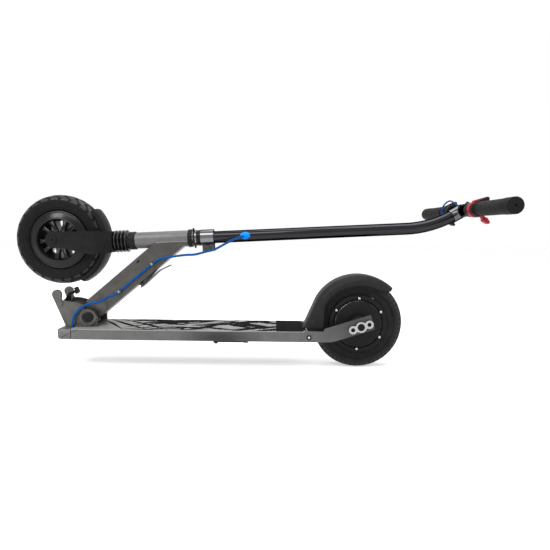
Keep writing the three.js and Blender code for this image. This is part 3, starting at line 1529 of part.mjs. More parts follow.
const throttleLead = [
  [-1, 17.4, 12.8], [-1, 19.4, 12.9], [-3, 26, 17.5], [-8.5, 43, 25], [-15, 53, 20.5], [-20.5, 57, 12],
  [-22.5, 58, 4], [-20, 58, -2.8], [-15.8, 58, -2.8],
];
const brakeLead = [[0, -17.4, 12.6], [0, -19.4, 12.7], [0, -30, 17], [0, -41.5, 14], [0, -45.7, 13.3]];

const clipEnd = clipUs[0] + clipHalfLength + fit;
const clipStart = clipUs[1] - clipHalfLength - fit;

function neckPoint(u) {
  return pointSeenFrom([u, harnessNeckY, harnessNeckW], neck, deck);
}

const harnessStart = upperHarness[0];
const harnessSocket = [[harnessStart[0] + fit, harnessStart[1], harnessStart[2]],
  ...upperHarness.slice(1, 4)];
const upperRun = [...upperHarness, neckPoint(clipEnd + overrun), neckPoint(clipEnd)];

piece(steering, 'cable_grommet', cut(grommet(), seenFrom(hose(harnessSocket, harnessRadius + fit, 6), deck,
  steering)), finish.brightBlue);
piece(deck, 'harness_upper', hose(upperRun, harnessRadius, harnessSteps), finish.cableBlue);
piece(neck, 'harness_neck', moved(rod('x', clipStart + fit, clipEnd - fit, harnessRadius, 8), 0,
  harnessNeckY,
  harnessNeckW), finish.cableBlue);
piece(deck, 'harness_lower', hose([neckPoint(clipStart), neckPoint(clipStart - overrun),
  ...lowerHarness], harnessRadius, harnessSteps),
  finish.cableBlue);
piece(deck, 'release_cable', hose(releaseCable.map(([x, z]) => [foldPivotX + x, 0, foldPivotZ + z]),
  releaseCableRadius, 8, 6), finish.blackPlastic);
piece(steering, 'throttle_lead', hose(throttleLead.map(([x, y, z]) => [barPlace[0] + x, y,
  barPlace[2] + z]),
  leadRadius, 14, 6), finish.cableBlue);
piece(steering, 'brake_lead', hose(brakeLead.map(([x, y, z]) => [barPlace[0] + x, y, barPlace[2] + z]),
  leadRadius, 8, 6), finish.blackPlastic);

// The box's middle over the origin
const bounds = new THREE.Box3().setFromObject(scooter);
scooter.position.x = -(bounds.min.x + bounds.max.x) / 2;

export default scooter;
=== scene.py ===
# %% [markdown]
# # Electric kick scooter, folded
# The imported model gives the frame. Every piece below is made in metres where the solids stand, and dresses
# a solid, stands for it or adds a surface form to it. All but the two harness runs that cross a joint ride on
# one of their bodies. The solids themselves are never moved or reshaped, so the moving model and the picture
# stay one object.

# %% Load the frame
import json
import math
import bpy
import bmesh
import numpy as np
from mathutils import Matrix, Vector


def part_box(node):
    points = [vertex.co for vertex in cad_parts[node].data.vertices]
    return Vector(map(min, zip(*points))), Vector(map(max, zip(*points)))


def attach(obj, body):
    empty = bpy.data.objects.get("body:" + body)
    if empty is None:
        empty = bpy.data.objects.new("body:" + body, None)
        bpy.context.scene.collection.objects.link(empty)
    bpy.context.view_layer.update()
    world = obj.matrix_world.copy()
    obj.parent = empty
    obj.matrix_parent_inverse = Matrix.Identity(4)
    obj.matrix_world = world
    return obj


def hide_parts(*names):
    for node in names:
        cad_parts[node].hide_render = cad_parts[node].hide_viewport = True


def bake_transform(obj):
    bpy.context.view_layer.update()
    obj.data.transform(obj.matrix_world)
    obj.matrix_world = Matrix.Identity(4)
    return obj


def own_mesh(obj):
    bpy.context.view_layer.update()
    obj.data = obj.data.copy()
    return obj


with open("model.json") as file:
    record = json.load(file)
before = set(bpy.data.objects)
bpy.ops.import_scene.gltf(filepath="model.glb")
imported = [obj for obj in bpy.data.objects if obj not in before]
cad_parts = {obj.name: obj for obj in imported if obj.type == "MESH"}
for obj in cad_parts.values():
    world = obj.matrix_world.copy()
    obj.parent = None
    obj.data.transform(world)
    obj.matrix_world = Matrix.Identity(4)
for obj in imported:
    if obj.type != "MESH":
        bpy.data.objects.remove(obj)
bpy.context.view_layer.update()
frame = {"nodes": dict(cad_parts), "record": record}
BODIES = frame["record"]["behaviour"]["bodies"]
print("CAD nodes:", sum(len(nodes) for nodes in BODIES.values()))

# %% [markdown]
# ## Places
# Sizes are millimetres from the rear axle, and the neck and the steering column lean. A leaning piece could
# be made upright and its object turned, but then its mesh wouldn't say where it is. So each leaning part has
# a place of its own, which turns plain local points into the row's metres before a mesh is made.

# %% Places
SHIFT = 258.2774
AXLE_HEIGHT = 101.5
FOLD_PIVOT = (-606, 111.1)
COLUMN_FOOT, FRONT_AXLE = (188.6, 64.7), (-166.5, 9.8)
NECK_ANGLE, STEER_ANGLE = 40.3, 3.2


class Place:
    """A frame in the x, z plane: a local point is turned about y by an angle, then moved to the origin."""

    def __init__(self, x, z, degrees=0.0):
        a = math.radians(degrees)
        self.origin = np.array([x, 0, z])
        self.turn = np.array([[math.cos(a), 0, -math.sin(a)], [0, 1, 0], [math.sin(a), 0, math.cos(a)]])

    def mm(self, points):
        """Local points in the deck's millimetres: the turn times each point, plus the origin."""
        return np.asarray(points, float).reshape(-1, 3) @ self.turn.T + self.origin

    def __call__(self, points):
        """Local points in the row's metres: shifted along x, then divided by a thousand."""
        return (self.mm(points) + [SHIFT, 0, 0]) / 1000

    def inner(self, x, z, degrees=0.0):
        """A place inside this one: its origin is carried along and its angle adds to this one's."""
        o = self.mm([[x, 0, z]])[0]
        angle = math.degrees(math.atan2(self.turn[2, 0], self.turn[0, 0]))
        return Place(o[0], o[2], angle + degrees)


DECK = Place(0, 0)
NECK = Place(*FOLD_PIVOT, NECK_ANGLE)
STEER = NECK.inner(*COLUMN_FOOT, STEER_ANGLE - NECK_ANGLE)
REAR_WHEEL = Place(0, AXLE_HEIGHT)
FRONT_WHEEL = STEER.inner(*FRONT_AXLE)
print("front axle at", np.round(FRONT_WHEEL([0, 0, 0])[0], 4))

# %% [markdown]
# ## Stem line
# The stem runs straight up the steering column, bends forwards once and runs straight again to the bar. It
# could be read off as points, but a foot, a bend and a top say the same with four lengths and an angle, and
# the bar's place follows from them.

# %% Stem line
STEM_FOOT, BEND_START, BEND_RADIUS, STEM_TOP = 128.0, 611.0, 240.0, 737.0
BEND = math.radians(27.0)
BEND_END = (BEND_START + BEND_RADIUS * math.sin(BEND), BEND_RADIUS * (1 - math.cos(BEND)))
BAR = STEER.inner(STEM_TOP, BEND_END[1] + (STEM_TOP - BEND_END[0]) * math.tan(BEND))
print("handlebar at", np.round(BAR([0, 0, 0])[0], 4))

# %% [markdown]
# ## Profiles and outlines
# Nearly every part here starts as a flat line: the section of a turned part, or the outline of a plate. No
# real corner is knife sharp, and an edge only shows in a picture because it is rounded. A bevel modifier
# could do that afterwards, but a line that is rounded first needs few points and turns out even all along.


# %% Profiles and outlines
def rounded(points, radius, steps=3, closed=True):
    """Each corner c becomes the curve (1-t)(1-t) a + 2t(1-t) c + t t b. Its ends a and b lie on the corner's
    two sides, the radius away, or at 0.45 of a shorter side."""
    p = np.asarray(points, float)
    back, ahead = np.roll(p, 1, 0) - p, np.roll(p, -1, 0) - p
    back_length = np.linalg.norm(back, axis=1)[:, None]
    ahead_length = np.linalg.norm(ahead, axis=1)[:, None]
    r = np.minimum(radius, 0.45 * np.minimum(back_length, ahead_length))
    a, b = (p + back / back_length * r)[:, None], (p + ahead / ahead_length * r)[:, None]
    t = np.linspace(0, 1, steps + 1)[None, :, None]
    curves = (1 - t) ** 2 * a + 2 * t * (1 - t) * p[:, None] + t * t * b
    if closed:
        return curves.reshape(-1, 2)
    return np.vstack([p[:1], curves[1:-1].reshape(-1, 2), p[-1:]])


def smooth_line(points, count):
    """A cubic through each pair of neighbouring points, whose slope at a point is half the step between the
    points on its two sides. The whole line is then spaced evenly by its length."""
    p = np.asarray(points, float)
    ends = np.vstack([2 * p[0] - p[1], p, 2 * p[-1] - p[-2]])
    p0, p1, p2, p3 = (ends[k:len(ends) - 3 + k, None] for k in range(4))
    t = np.linspace(0, 1, 24, endpoint=False)[None, :, None]
    spans = 0.5 * (2 * p1 + (p2 - p0) * t + (2 * p0 - 5 * p1 + 4 * p2 - p3) * t ** 2
                   + (3 * p1 - p0 - 3 * p2 + p3) * t ** 3)
    fine = np.vstack([spans.reshape(-1, p.shape[1]), p[-1]])
    run = length_along(fine)
    at = np.linspace(0, run[-1], count)
    return np.stack([np.interp(at, run, fine[:, k]) for k in range(fine.shape[1])], 1)


def length_along(path):
    """The running sum of the distances between neighbouring points, from zero."""
    return np.concatenate([[0], np.cumsum(np.linalg.norm(np.diff(path, axis=0), axis=1))])


def area_of(p):
    """Half the sum of x times the next y, less y times the next x: above zero where it runs anticlockwise."""
    x, y = p[:, 0], p[:, 1]
    return 0.5 * np.sum(x * np.roll(y, -1) - np.roll(x, -1) * y)


def inset(p, d):
    """Each corner moves inwards along the sum of its sides' unit normals, so far that the sides move by d."""
    before, after = p - np.roll(p, 1, 0), np.roll(p, -1, 0) - p
    n1 = np.stack([-before[:, 1], before[:, 0]], 1)
    n2 = np.stack([-after[:, 1], after[:, 0]], 1)
    n1 /= np.maximum(np.linalg.norm(n1, axis=1), 1e-9)[:, None]
    n2 /= np.maximum(np.linalg.norm(n2, axis=1), 1e-9)[:, None]
    middle = n1 + n2
    return p + middle / np.maximum((middle * n1).sum(1), 0.3)[:, None] * d


def belt(discs, steps=8):
    """The line of a string pulled round discs (a, b, radius). It leaves a disc at the angle of the way to the
    next disc, less the arc cosine of the difference of their radii over their distance."""
    d = np.asarray(discs, float)
    if len(d) > 2 and area_of(d[:, :2]) < 0:
        d = d[::-1]
    step = np.roll(d, -1, 0) - d
    lead = np.arccos(np.clip(-step[:, 2] / np.hypot(step[:, 0], step[:, 1]), -1, 1))
    leave = np.arctan2(step[:, 1], step[:, 0]) - lead
    arrive = np.roll(leave, 1)
    share = np.linspace(0, 1, steps + 1)[None, :]
    a = arrive[:, None] + np.mod(leave - arrive, 2 * np.pi)[:, None] * share
    x, y, radius = (d[:, k, None] for k in range(3))
    return np.stack([x + radius * np.cos(a), y + radius * np.sin(a)], -1).reshape(-1, 2)


print("a square of side 2 has the area", area_of(np.array([[0, 0], [2, 0], [2, 2], [0, 2]])))

# %% [markdown]
# ## Surfaces
# A turned part, a tube and a plate are each a grid of points: one number runs round the part, the other
# along it. Cubes and cylinders could be joined and cut, but a grid carries grooves, ribs and ragged edges as
# plain arithmetic on whole arrays, and it is closed by its numbering.


# %% Grids
def grid_faces(rows, columns, close_rows=False, close_columns=True):
    """Face (i, j) joins the points (i, j), (i, j+1), (i+1, j+1) and (i+1, j), counted i times columns plus j.
    The last row or column joins the first where that way is closed."""
    i = np.arange(rows if close_rows else rows - 1)[:, None]
    j = np.arange(columns if close_columns else columns - 1)[None, :]
    here, below, right = i * columns, (i + 1) % rows * columns, (j + 1) % columns
    return np.stack([here + j, here + right, below + right, below + j], -1).reshape(-1, 4).tolist()


def end_caps(rows, columns):
    """One many-sided face on the first ring of a grid and one on the last."""
    last = (rows - 1) * columns
    return [list(range(columns))[::-1], list(range(last, last + columns))]


def thick_grid(outer, inner):
    """Two grids of the same size and the strip of faces that joins their rims: one closed shell."""
    n, m = outer.shape[:2]
    quads = np.array(grid_faces(n, m, close_columns=False))
    number = np.arange(n * m).reshape(n, m)
    rim = np.concatenate([number[0], number[1:, -1], number[-1, -2::-1], number[-2:0:-1, 0]])
    after = np.roll(rim, -1)
    strip = np.column_stack([rim, after, after + n * m, rim + n * m])
    faces = quads[:, ::-1].tolist() + (quads + n * m).tolist() + strip.tolist()
    return np.vstack([outer.reshape(-1, 3), inner.reshape(-1, 3)]), faces


print("a grid of 3 by 4 points has", len(grid_faces(3, 4)), "faces")


# %% Turned, swept and flat shapes
def turned(place, axis, profile, sides=48, depth=None):
    """A lathe: at the angle a, a point (along, radius) stands at (along, radius cos a, radius sin a) for axis
    x, or at (radius cos a, along, radius sin a) for axis y. depth adds to along and to radius."""
    p = np.asarray(profile, float)
    along, radius = (np.repeat(p[:, k], sides) for k in range(2))
    around = np.tile(np.linspace(0, 2 * math.pi, sides, endpoint=False), len(p))
    if depth is not None:
        more_along, more_radius = depth(along, radius, around)
        along, radius = along + more_along, radius + more_radius
    c, s = radius * np.cos(around), radius * np.sin(around)
    local = np.stack([along, c, s] if axis == "x" else [c, along, s], 1)
    uv = np.stack([around / (2 * math.pi), along / 100], 1)
    return place(local), grid_faces(len(p), sides, close_rows=True), uv


def swept(place, path, radius, sides=16):
    """A tube: at each point of the path stands a circle, path + radius (cos a side + sin a other), where side
    and other are square to the path's direction. The radius may change along the path."""
    p = np.asarray(path, float)
    tangent = np.gradient(p, axis=0)
    tangent /= np.linalg.norm(tangent, axis=1)[:, None]
    side = np.cross(tangent, np.array([0.0, 1.0, 0.05]))
    side /= np.linalg.norm(side, axis=1)[:, None]
    other = np.cross(side, tangent)
    a = np.linspace(0, 2 * math.pi, sides, endpoint=False)
    ring = np.cos(a)[None, :, None] * side[:, None, :] + np.sin(a)[None, :, None] * other[:, None, :]
    r = np.broadcast_to(np.asarray(radius, float), len(p))
    verts = (p[:, None, :] + r[:, None, None] * ring).reshape(-1, 3)
    uv = np.stack([np.tile(a / (2 * math.pi), len(p)), np.repeat(length_along(p) / 100, sides)], 1)
    return place(verts), grid_faces(len(p), sides) + end_caps(len(p), sides), uv


def slab(place, outline, y0, y1, edge=0.6, steps=3, axis="y"):
    """A plate: the outline carried from y0 to y1 with quarter-round edges. At the quarter's angle t it is
    inset by edge (1 - sin t) and stands edge (1 - cos t) in from its face. Axis z lays the plate flat."""
    p = np.asarray(outline, float)
    if area_of(p) < 0:
        p = p[::-1]
    t = math.pi / 2 * np.linspace(0, 1, steps + 1)
    inward, height = edge * (1 - np.sin(t)), y0 + edge * (1 - np.cos(t))
    inward, height = np.append(inward, inward[::-1]), np.append(height, y0 + y1 - height[::-1])
    a, b = np.vstack([inset(p, d) for d in inward]).T
    y = np.repeat(height, len(p))
    local = np.stack([a, y, b] if axis == "y" else [a, b, y], 1)
    return place(local), grid_faces(len(inward), len(p)) + end_caps(len(inward), len(p)), None


def merged(*shapes):
    """Several shapes as one: the points follow each other, and each face counts the points before its own."""
    starts = np.cumsum([0] + [len(verts) for verts, _, _ in shapes]).tolist()
    faces = [[start + i for i in face] for (_, part, _), start in zip(shapes, starts) for face in part]
    return np.vstack([verts for verts, _, _ in shapes]), faces, None


print("a plate from a square has", len(slab(DECK, [[0, 0], [9, 0], [9, 9], [0, 9]], 0, 3)[0]), "points")

# %% [markdown]
# ## Pieces
# A shape becomes a piece when it gets a finish, a body to ride on and, often, the solid that it stands for.
# Its faces could be turned outwards one by one, but Blender can recalculate them for a whole closed mesh.
# Smooth shading hides the grid, and edges past an angle stay crisp.


# %% Pieces
def piece(name, shape, finish, body, replaces=(), angle=35):
    """A shape as one object on a body: smooth, with every edge sharper than the angle left crisp."""
    verts, faces, uv = shape
    mesh = bpy.data.meshes.new(name)
    mesh.from_pydata(np.asarray(verts, float).tolist(), [], faces)
    if uv is not None:
        layer = mesh.uv_layers.new(name="UV")
        corner = np.zeros(len(mesh.loops), np.int32)
        mesh.loops.foreach_get("vertex_index", corner)
        layer.data.foreach_set("uv", np.asarray(uv, np.float32)[corner].ravel())
    mesh.validate()
    bm = bmesh.new()
    bm.from_mesh(mesh)
    bmesh.ops.recalc_face_normals(bm, faces=bm.faces)
    bm.to_mesh(mesh)
    bm.free()
    mesh.polygons.foreach_set("use_smooth", np.ones(len(mesh.polygons), bool))
    mesh.set_sharp_from_angle(angle=math.radians(angle))
    mesh.materials.append(finish.mat)
    made = bpy.data.objects.new(name, mesh)
    bpy.context.scene.collection.objects.link(made)
    if body:
        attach(made, body)
    if replaces:
        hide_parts(*([replaces] if isinstance(replaces, str) else replaces))
    return made


print("bodies to ride on:", len(BODIES))

# %% [markdown]
# ## Dressed solids
# Where a solid already has the right form, a copy of it is enough. A CAD solid is loose triangles, and a
# bevel would round every one of their sides. So the copy is merged and its flat faces are made whole again
# first, and then its edges are rounded as a press or a mill leaves them. Some faces may get a second finish.


# %% Dressed solids
def dressed(node, finish, edge=0.5, angle=30):
    """A copy of a CAD solid with its flat faces whole again, and a bevel, edge wide, wherever an edge is
    sharper than the angle."""
    mesh = frame["nodes"][node].data.copy()
    mesh.name = node + "_dressed"
    bm = bmesh.new()
    bm.from_mesh(mesh)
    bmesh.ops.remove_doubles(bm, verts=bm.verts, dist=2e-6)
    bmesh.ops.dissolve_limit(bm, angle_limit=math.radians(0.6), verts=bm.verts, edges=bm.edges)
    bm.to_mesh(mesh)
    bm.free()
    mesh.polygons.foreach_set("use_smooth", np.ones(len(mesh.polygons), bool))
    mesh.materials.clear()
    mesh.materials.append(finish.mat)
    copy = bpy.data.objects.new(mesh.name, mesh)
    bpy.context.scene.collection.objects.link(copy)
    if edge:
        bevel = copy.modifiers.new("Edges", "BEVEL")
        bevel.width = edge / 1000
        bevel.segments = 2
        bevel.limit_method = "ANGLE"
        bevel.angle_limit = math.radians(angle)
        bevel.use_clamp_overlap = True
        bevel.harden_normals = False
    mesh.set_sharp_from_angle(angle=math.radians(angle))
    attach(copy, next(body for body, nodes in BODIES.items() if node in nodes))
    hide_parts(node)
    return copy


def second_finish(made, place, finish, test):
    """Another finish on the faces whose centre, in a place's own millimetres, passes the test."""
    mesh = made.data
    centres = np.zeros(len(mesh.polygons) * 3)
    mesh.polygons.foreach_get("center", centres)
    row = centres.reshape(-1, 3) * 1000 - [SHIFT, 0, 0] - place.origin
    mesh.materials.append(finish.mat)
    number = np.where(test(row @ place.turn), len(mesh.materials) - 1, 0)
    mesh.polygons.foreach_set("material_index", number.astype(np.int32))


print("solids that could be dressed:", len(frame["nodes"]))

# %% [markdown]
# ## Shader tools
# Paint, plating and rubber all look alive because nothing on them is quite even. An image could hold that,
# but noise worked out by the shader has no seams and no fixed sharpness. Each finish below is one shader
# whose colour drifts, whose roughness wanders and whose skin has a fine relief. All of it is drawn in object
# coordinates, so it stays put when a piece moves.


# %% Shader tools
def srgb(r, g, b):
    """A share v of 255 as light: v / 12.92 near black, above that (v + 0.055) / 1.055 to the power 2.4."""
    v = np.array([r, g, b]) / 255
    light = np.where(v <= 0.04045, v / 12.92, ((v + 0.055) / 1.055) ** 2.4)
    return (*light.tolist(), 1.0)


class Shader:
    """One finish: a Principled shader whose even values stand on its own sockets."""

    def __init__(self, name, color, rough, metal=0.0, specular=None, edge_tint=None):
        self.mat = bpy.data.materials.new(name)
        self.mat.use_nodes = True
        self.mat.diffuse_color = color
        self.tree = self.mat.node_tree
        self.bsdf = self.tree.nodes["Principled BSDF"]
        self.color = color
        self.bsdf.inputs["Base Color"].default_value = color
        self.bsdf.inputs["Roughness"].default_value = rough
        self.bsdf.inputs["Metallic"].default_value = metal
        if specular is not None:
            self.bsdf.inputs["Specular IOR Level"].default_value = specular
        if edge_tint is not None:
            self.bsdf.inputs["Specular Tint"].default_value = (edge_tint,) * 3 + (1,)

    def node(self, kind, values=(), **settings):
        """A new node with some of its sockets' values and settings."""
        made = self.tree.nodes.new(kind)
        for key, value in dict(values).items():
            made.inputs[key].default_value = value
        for key, value in settings.items():
            setattr(made, key, value)
        return made

    def link(self, a, b):
        """Joins an output to an input."""
        self.tree.links.new(a, b)

    def noise(self, scale, detail, stretch=(1, 1, 1), turn=(0, 0, 0)):
        """Noise of so many bumps to the metre, drawn out and turned by a mapping."""
        mapping = self.node("ShaderNodeMapping", {"Scale": stretch, "Rotation": turn})
        self.link(self.node("ShaderNodeTexCoord").outputs["Object"], mapping.inputs["Vector"])
        made = self.node("ShaderNodeTexNoise", {"Scale": scale, "Detail": detail})
        self.link(mapping.outputs["Vector"], made.inputs["Vector"])
        return made.outputs["Fac"]

    def ranged(self, value, low, high, from_low=0.3, from_high=0.7):
        """A straight line that takes from_low to low and from_high to high."""
        limits = {"From Min": from_low, "From Max": from_high, "To Min": low, "To Max": high}
        made = self.node("ShaderNodeMapRange", limits)
        self.link(value, made.inputs["Value"])
        return made.outputs["Result"]

    def mixed(self, share, a, b):
        """Colour a where the share is 0 and b where it is 1. Each is a colour or another node's output."""
        made = self.node("ShaderNodeMix", data_type="RGBA")
        self.link(share, made.inputs[0])
        for socket, value in ((made.inputs[6], a), (made.inputs[7], b)):
            if isinstance(value, tuple):
                socket.default_value = value
            else:
                self.link(value, socket)
        return made.outputs[2]

    def shaded(self, share):
        """The finish's colour times a share."""
        return tuple(c * share for c in self.color[:3]) + (1,)

    def drift(self, scale, low, high, detail=3, stretch=(1, 1, 1), turn=(0, 0, 0)):
        """The colour times a noise between low and high."""
        share = self.ranged(self.noise(scale, detail, stretch, turn), 0, 1)
        self.link(self.mixed(share, self.shaded(low), self.shaded(high)), self.bsdf.inputs["Base Color"])
        return self

    def painted_shade_patch(self, at, size, shade):
        """Painted shade: a soft patch, the colour times shade in the middle of an ellipse at (x, z), fading
        to its edge.
        """
        place = self.node("ShaderNodeMapping", {"Scale": (1 / size[0], 0, 1 / size[1]),
                                                "Location": (-at[0] / size[0], 0, -at[1] / size[1])})
        self.link(self.node("ShaderNodeTexCoord").outputs["Object"], place.inputs["Vector"])
        ball = self.node("ShaderNodeTexGradient", gradient_type="SPHERICAL")
        self.link(place.outputs["Vector"], ball.inputs["Vector"])
        share = self.ranged(ball.outputs["Fac"], 0, 1, 0.0, 0.8)
        under = self.bsdf.inputs["Base Color"].links[0].from_socket
        self.link(self.mixed(share, under, self.shaded(shade)), self.bsdf.inputs["Base Color"])
        return self

    def roughly(self, scale, low, high, stretch=(1, 1, 1), turn=(0, 0, 0)):
        """A roughness that follows a noise between low and high."""
        self.link(self.ranged(self.noise(scale, 5, stretch, turn), low, high), self.bsdf.inputs["Roughness"])
        return self

    def relief(self, scale, distance):
        """A fine skin: the normal leans with a noise that stands for a height, distance metres deep."""
        bump = self.node("ShaderNodeBump", {"Strength": 1.0, "Distance": distance})
        self.link(self.noise(scale, 5), bump.inputs["Height"])
        self.link(bump.outputs["Normal"], self.bsdf.inputs["Normal"])
        return self


print("mid grey as light:", round(srgb(128, 128, 128)[0], 4))

# %% [markdown]
# ## Camera
# The photograph was taken from a metre off, a little above the deck, with the camera turned by less than a
# degree. It could be aimed with a tracking constraint, but a place, a roll and a pitch that are plain numbers
# can be fitted to the photograph one at a time.

# %% Camera
scene = bpy.context.scene
CAMERA_AT = (0.06803, -1.0, 0.31019)
FOCAL_PIXELS, PHOTO_PIXELS, SENSOR = 439, 550, 36.0
ROLL, PITCH = math.radians(0.7), math.atan(45 / FOCAL_PIXELS)
right = Vector((math.cos(ROLL), 0, math.sin(ROLL)))
level_up = Vector((-math.sin(ROLL), 0, math.cos(ROLL)))
up = math.cos(PITCH) * level_up + math.sin(PITCH) * Vector((0, 1, 0))
back = right.cross(up)
camera_data = bpy.data.cameras.new("camera")
camera_data.sensor_width, camera_data.lens = SENSOR, FOCAL_PIXELS / PHOTO_PIXELS * SENSOR
camera = bpy.data.objects.new("camera", camera_data)
scene.collection.objects.link(camera)
turn = Matrix((right, up, back)).transposed().to_4x4()
camera.matrix_world = Matrix.Translation(CAMERA_AT) @ turn
scene.camera = camera
print("camera back vector", tuple(round(v, 3) for v in back))

# %% [markdown]
# ## Floor and sky
# The photograph's background is plain white. Strong lamps on the floor would make it white too, but they
# would bleach the scooter. So the floor has a plain pale colour that takes the shadow, and a glow that only
# the camera and reflections see. The sky is done in the same way.

# %% Floor
scene.view_settings.view_transform = "Standard"
floor_finish = Shader("studio_floor", (0.8, 0.8, 0.8, 1), 0.9).drift(3, 0.99, 1.0)
rays = floor_finish.node("ShaderNodeLightPath")
seen = floor_finish.node("ShaderNodeMath", operation="MAXIMUM")
floor_finish.link(rays.outputs["Is Camera Ray"], seen.inputs[0])
floor_finish.link(rays.outputs["Is Glossy Ray"], seen.inputs[1])
half = floor_finish.node("ShaderNodeMath", {1: 0.5}, operation="MULTIPLY")
floor_finish.link(seen.outputs[0], half.inputs[0])
glow = floor_finish.node("ShaderNodeEmission")
floor_finish.link(half.outputs[0], glow.inputs["Strength"])
both = floor_finish.node("ShaderNodeAddShader")
floor_finish.link(floor_finish.bsdf.outputs[0], both.inputs[0])
floor_finish.link(glow.outputs[0], both.inputs[1])
floor_finish.link(both.outputs[0], floor_finish.tree.nodes["Material Output"].inputs["Surface"])
floor_mesh = bpy.data.meshes.new("studio_floor")
floor_mesh.from_pydata([(-6, -4, 0), (6, -4, 0), (6, 9, 0), (-6, 9, 0)], [], [(0, 1, 2, 3)])
floor_mesh.materials.append(floor_finish.mat)
floor = bpy.data.objects.new("studio_floor", floor_mesh)
scene.collection.objects.link(floor)
print("floor of", tuple(floor.dimensions[:2]), "metres")

# %% Sky
world = bpy.data.worlds.new("studio")
world.use_nodes = True
sky = world.node_tree
seen_sky, soft_sky = sky.nodes["Background"], sky.nodes.new("ShaderNodeBackground")
for background, strength in ((seen_sky, 1.0), (soft_sky, 0.55)):
    background.inputs["Color"].default_value = (1, 1, 1, 1)
    background.inputs["Strength"].default_value = strength
rays = sky.nodes.new("ShaderNodeLightPath")
either = sky.nodes.new("ShaderNodeMath")
either.operation = "MAXIMUM"
joined_sky = sky.nodes.new("ShaderNodeMixShader")
wires = [(rays.outputs["Is Camera Ray"], either.inputs[0]), (rays.outputs["Is Glossy Ray"], either.inputs[1]),
         (either.outputs[0], joined_sky.inputs["Fac"]), (soft_sky.outputs[0], joined_sky.inputs[1]),
         (seen_sky.outputs[0], joined_sky.inputs[2]),
         (joined_sky.outputs[0], sky.nodes["World Output"].inputs["Surface"])]
for a, b in wires:
    sky.links.new(a, b)
scene.world = world
print("sky lights at", soft_sky.inputs["Strength"].default_value, "and is seen at 1")

# %% [markdown]
# ## Lamps
# The studio light is soft and comes from above, with a bright edge on the front wheel's rim. Sun or point
# lamps would draw hard shadows, so every lamp is a rectangle. A large one above and a large one beside the
# camera light the whole scooter, and three weaker ones lift the front wheel and the grips' end.


# %% Lamps
def area_light(name, place, target, size, power):
    """A rectangular lamp whose -Z axis points from its place to its target."""
    data = bpy.data.lights.new(name, "AREA")
    data.shape, data.size, data.size_y, data.energy = "RECTANGLE", size[0], size[1], power
    lamp = bpy.data.objects.new(name, data)
    lamp.location = place
    lamp.rotation_euler = (Vector(target) - Vector(place)).to_track_quat("-Z", "Y").to_euler()
    scene.collection.objects.link(lamp)


area_light("key", (-0.6, -1.2, 1.9), (0, 0, 0.2), (1.6, 0.8), 20)
area_light("top", (0.3, 0.2, 2.2), (0, 0, 0.1), (2.4, 1.0), 34)
area_light("kicker", (-0.72, -0.5, 0.12), (-0.41, 0, 0.36), (0.2, 0.2), 0.7)
area_light("wheel_side", (-1.05, -0.95, 1.3), (-0.41, 0, 0.3), (0.5, 0.4), 8)
area_light("fill", (1.6, -1.4, 0.9), (0.3, 0, 0.1), (1.0, 1.0), 6)
print("lamps:", len(bpy.data.lights))

# %% [markdown]
# ## Paints
# Deck, neck, fork and motor covers are painted metal. A paint could be one flat colour with a clear coat, but
# these are satin and slightly grainy. So each has a colour that drifts by a tenth or two, a roughness near
# 0.4 and a relief under a tenth of a millimetre. The deck's sides get two soft patches of painted shade.

# %% Paints
deck_paint = Shader("deck_grey_paint", srgb(91, 91, 90), 0.4, 0.45, specular=0.3)
deck_paint.drift(60, 0.9, 1.1).roughly(500, 0.34, 0.48).relief(2600, 0.00006)
# Painted shade: two soft dark patches, one midway along the deck's sides and one on the rear arms.
deck_paint.painted_shade_patch((-0.05, 0.072), (0.1, 0.034), 0.3).painted_shade_patch((0.27, 0.105), (0.14, 0.07), 0.5)
deck_top = Shader("deck_pale_paint", srgb(136, 136, 135), 0.55, 0.2, specular=0.25)
deck_top.drift(40, 0.9, 1.07).roughly(400, 0.44, 0.58).relief(2200, 0.00008)
neck_paint = Shader("neck_brown_grey_paint", srgb(69, 67, 64), 0.42, 0.4, specular=0.35)
neck_paint.drift(45, 0.84, 1.14).roughly(450, 0.36, 0.5).relief(2600, 0.00007)
tube_paint = Shader("head_tube_paint", srgb(98, 98, 98), 0.42, 0.25, specular=0.25)
tube_paint.drift(50, 0.92, 1.08).roughly(500, 0.36, 0.5).relief(2600, 0.00005)
weld_paint = Shader("weld_grey_paint", srgb(116, 114, 112), 0.36, 0.4, specular=0.35)
weld_paint.drift(400, 0.85, 1.15).roughly(500, 0.3, 0.42)
black_paint = Shader("satin_black_paint", srgb(26, 26, 26), 0.42, specular=0.07)
black_paint.drift(70, 0.82, 1.18).roughly(600, 0.36, 0.52).relief(2400, 0.00008)
cover_paint = Shader("motor_cover_paint", srgb(27, 27, 27), 0.45, specular=0.09)
cover_paint.drift(60, 0.85, 1.15).roughly(500, 0.38, 0.52).relief(1500, 0.00012)
print("deck paint as light:", [round(c, 4) for c in deck_paint.color[:3]])

# %% [markdown]
# ## Plating and metals
# The stem is dark plating, the collar and the axle plates are bright, and screws are plain steel. Metal has
# little colour of its own and mirrors the white studio, so its tone is set by a grey of the right depth and
# a darker edge tint. The front rim is black enamel, which is a glossy dark shader without metal.

